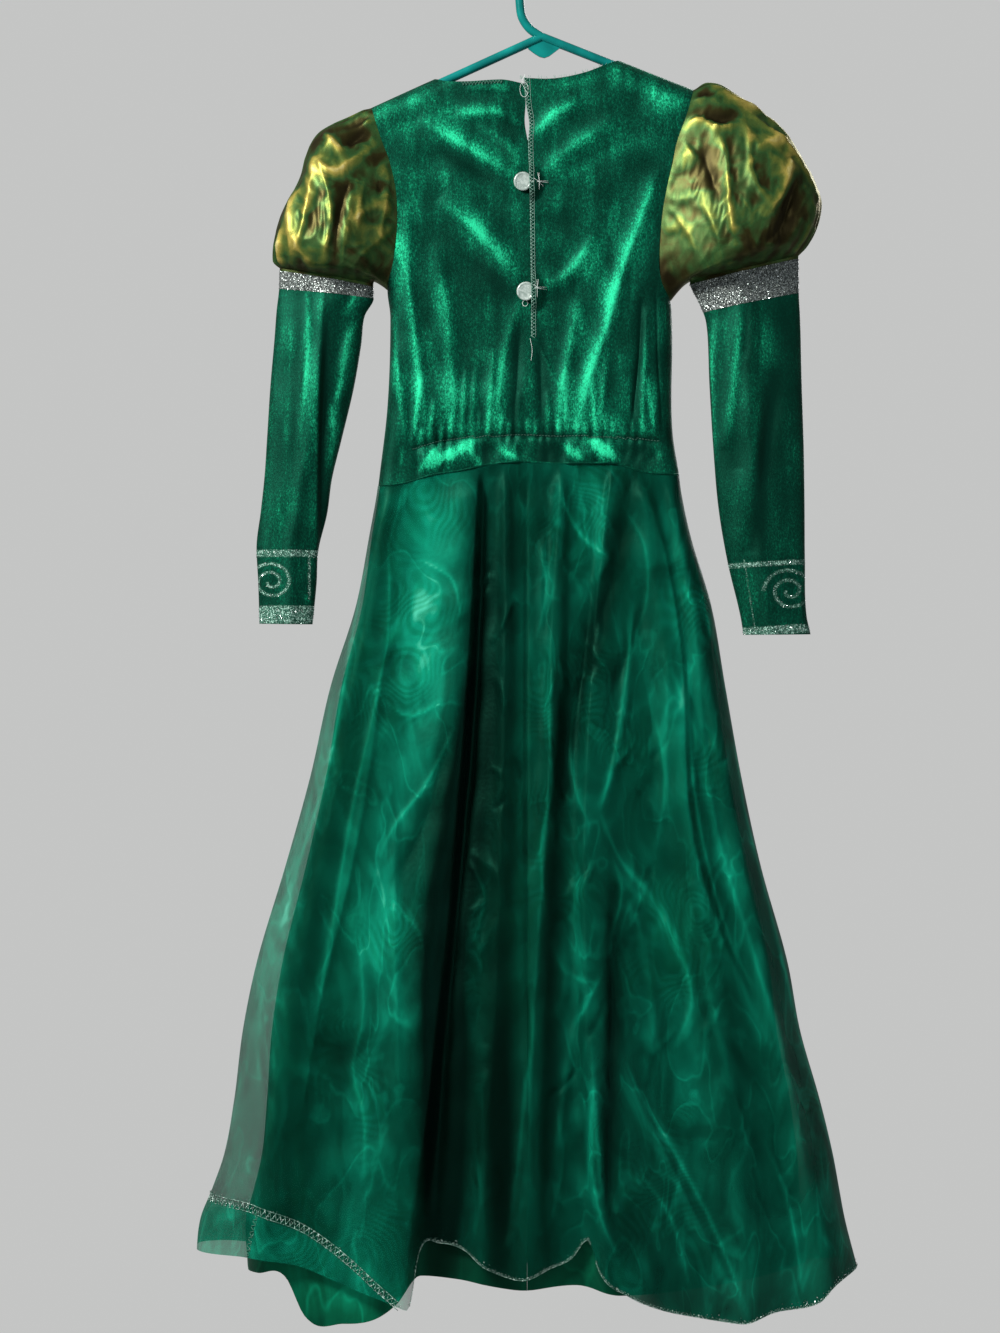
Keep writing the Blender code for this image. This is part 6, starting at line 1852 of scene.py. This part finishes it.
# %% Glitter flakes
FLAKE_LIFT = 0.75
scatter, scatter_keys, given = new_tree("flakes_on_cloth", {
    "Density": (FLOAT, 900000.0), "Size": (FLOAT, 0.0004), "Tilt": (FLOAT, 0.7),
    "Seed": ("NodeSocketInt", 1), "Material": ("NodeSocketMaterial", None)})
thick_here = add(scatter, "GeometryNodeInputNamedAttribute", {"data_type": "FLOAT"},
                 Name="glitter").outputs[0]
spots = add(scatter, "GeometryNodeDistributePointsOnFaces", Mesh=given.outputs["Geometry"],
            Density=numbers(scatter, "MULTIPLY", given.outputs["Density"], thick_here),
            Seed=given.outputs["Seed"])
hexagon = add(scatter, "GeometryNodeMeshCircle", {"fill_type": "NGON"}, Vertices=6,
              Radius=given.outputs["Size"])
less = numbers(scatter, "MULTIPLY", given.outputs["Tilt"], -1.0)
low_turn = add(scatter, "ShaderNodeCombineXYZ", X=less, Y=less, Z=0.0)
high_turn = add(scatter, "ShaderNodeCombineXYZ", X=given.outputs["Tilt"], Y=given.outputs["Tilt"], Z=6.28)
chance = add(scatter, "FunctionNodeRandomValue", {"data_type": "FLOAT_VECTOR"}, Min=low_turn, Max=high_turn,
             Seed=given.outputs["Seed"])
turned = add(scatter, "FunctionNodeRotateRotation", {"rotation_space": "LOCAL"},
             Rotation=spots.outputs["Rotation"],
             Rotate_By=add(scatter, "FunctionNodeEulerToRotation", Euler=chance.outputs[0]))
sizes = add(scatter, "FunctionNodeRandomValue", {"data_type": "FLOAT"}, _2=0.6, _3=1.4,
            Seed=given.outputs["Seed"])
placed = add(scatter, "GeometryNodeInstanceOnPoints", Points=spots.outputs["Points"], Instance=hexagon,
             Rotation=turned, Scale=sizes.outputs[1])
real = add(scatter, "GeometryNodeRealizeInstances", Geometry=placed)
coloured = add(scatter, "GeometryNodeSetMaterial", Geometry=real, Material=given.outputs["Material"])
add(scatter, "NodeGroupOutput", Geometry=coloured)


def sprinkle(name, grid, normals, glitter, density, size, tilt, seed, closed=True):
    """Flakes over a grid of points; density is in flakes per square millimetre."""
    if closed:
        centre = grid.mean(axis=1, keepdims=True)
        normals = normals * np.sign(np.sum(normals * (grid - centre), axis=-1, keepdims=True) + 1e-9)
    else:
        normals = normals * -np.sign(normals[..., 1:2] + 1e-9)
    points = (grid + normals * FLAKE_LIFT).reshape(-1, 3)
    faces = grid_faces(grid, closed)[1]
    corner = points[faces]
    face_normal = np.cross(corner[:, 2] - corner[:, 0], corner[:, 3] - corner[:, 1])
    if np.sum(face_normal * normals.reshape(-1, 3)[faces[:, 0]]) < 0:
        faces = faces[:, ::-1]
    mesh = mesh_in_mm("ground", points, [], faces.tolist())
    mark(mesh, "glitter", np.broadcast_to(glitter, grid.shape[:2]))
    values = [density * 1e6, size * MM, tilt, seed, flake_foil]
    item = run_tree(mesh, scatter, scatter_keys, values, name)
    item.data.shade_flat()


for k, word in enumerate(("left", "right")):
    grid, normals = surfaces[f"arm_band_{word}_cloth"]
    sprinkle(f"band_flakes_{word}", grid, normals, 1.0, density=0.5, size=0.36, tilt=0.8, seed=10 + k)
    grid, normals = surfaces[f"cuff_{word}_cloth"]
    printed = cuff_glitter(word, grid[..., 0], grid[..., 2], smooth_step(-grid[..., 1] / 3))
    sprinkle(f"cuff_flakes_{word}", grid, normals, printed, density=0.4, size=0.3, tilt=0.8, seed=20 + k)
    grid, normals = surfaces[f"skirt_overlay_back_{word}_cloth"]
    at_hem = np.clip(1.6 - np.abs(grid[..., 2] - raw_hem(grid[..., 0]) - 1) / 3.0, 0, 1)
    sprinkle(f"hem_flakes_{word}", grid, normals, at_hem, density=0.1, size=0.36, tilt=0.9, seed=30 + k,
             closed=False)

# %% Size and finish
sizes = {"cad": [[float(v) for v in corner] for corner in cad_box],
         "visual": [[float(v) for v in corner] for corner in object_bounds()]}
print(sizes)
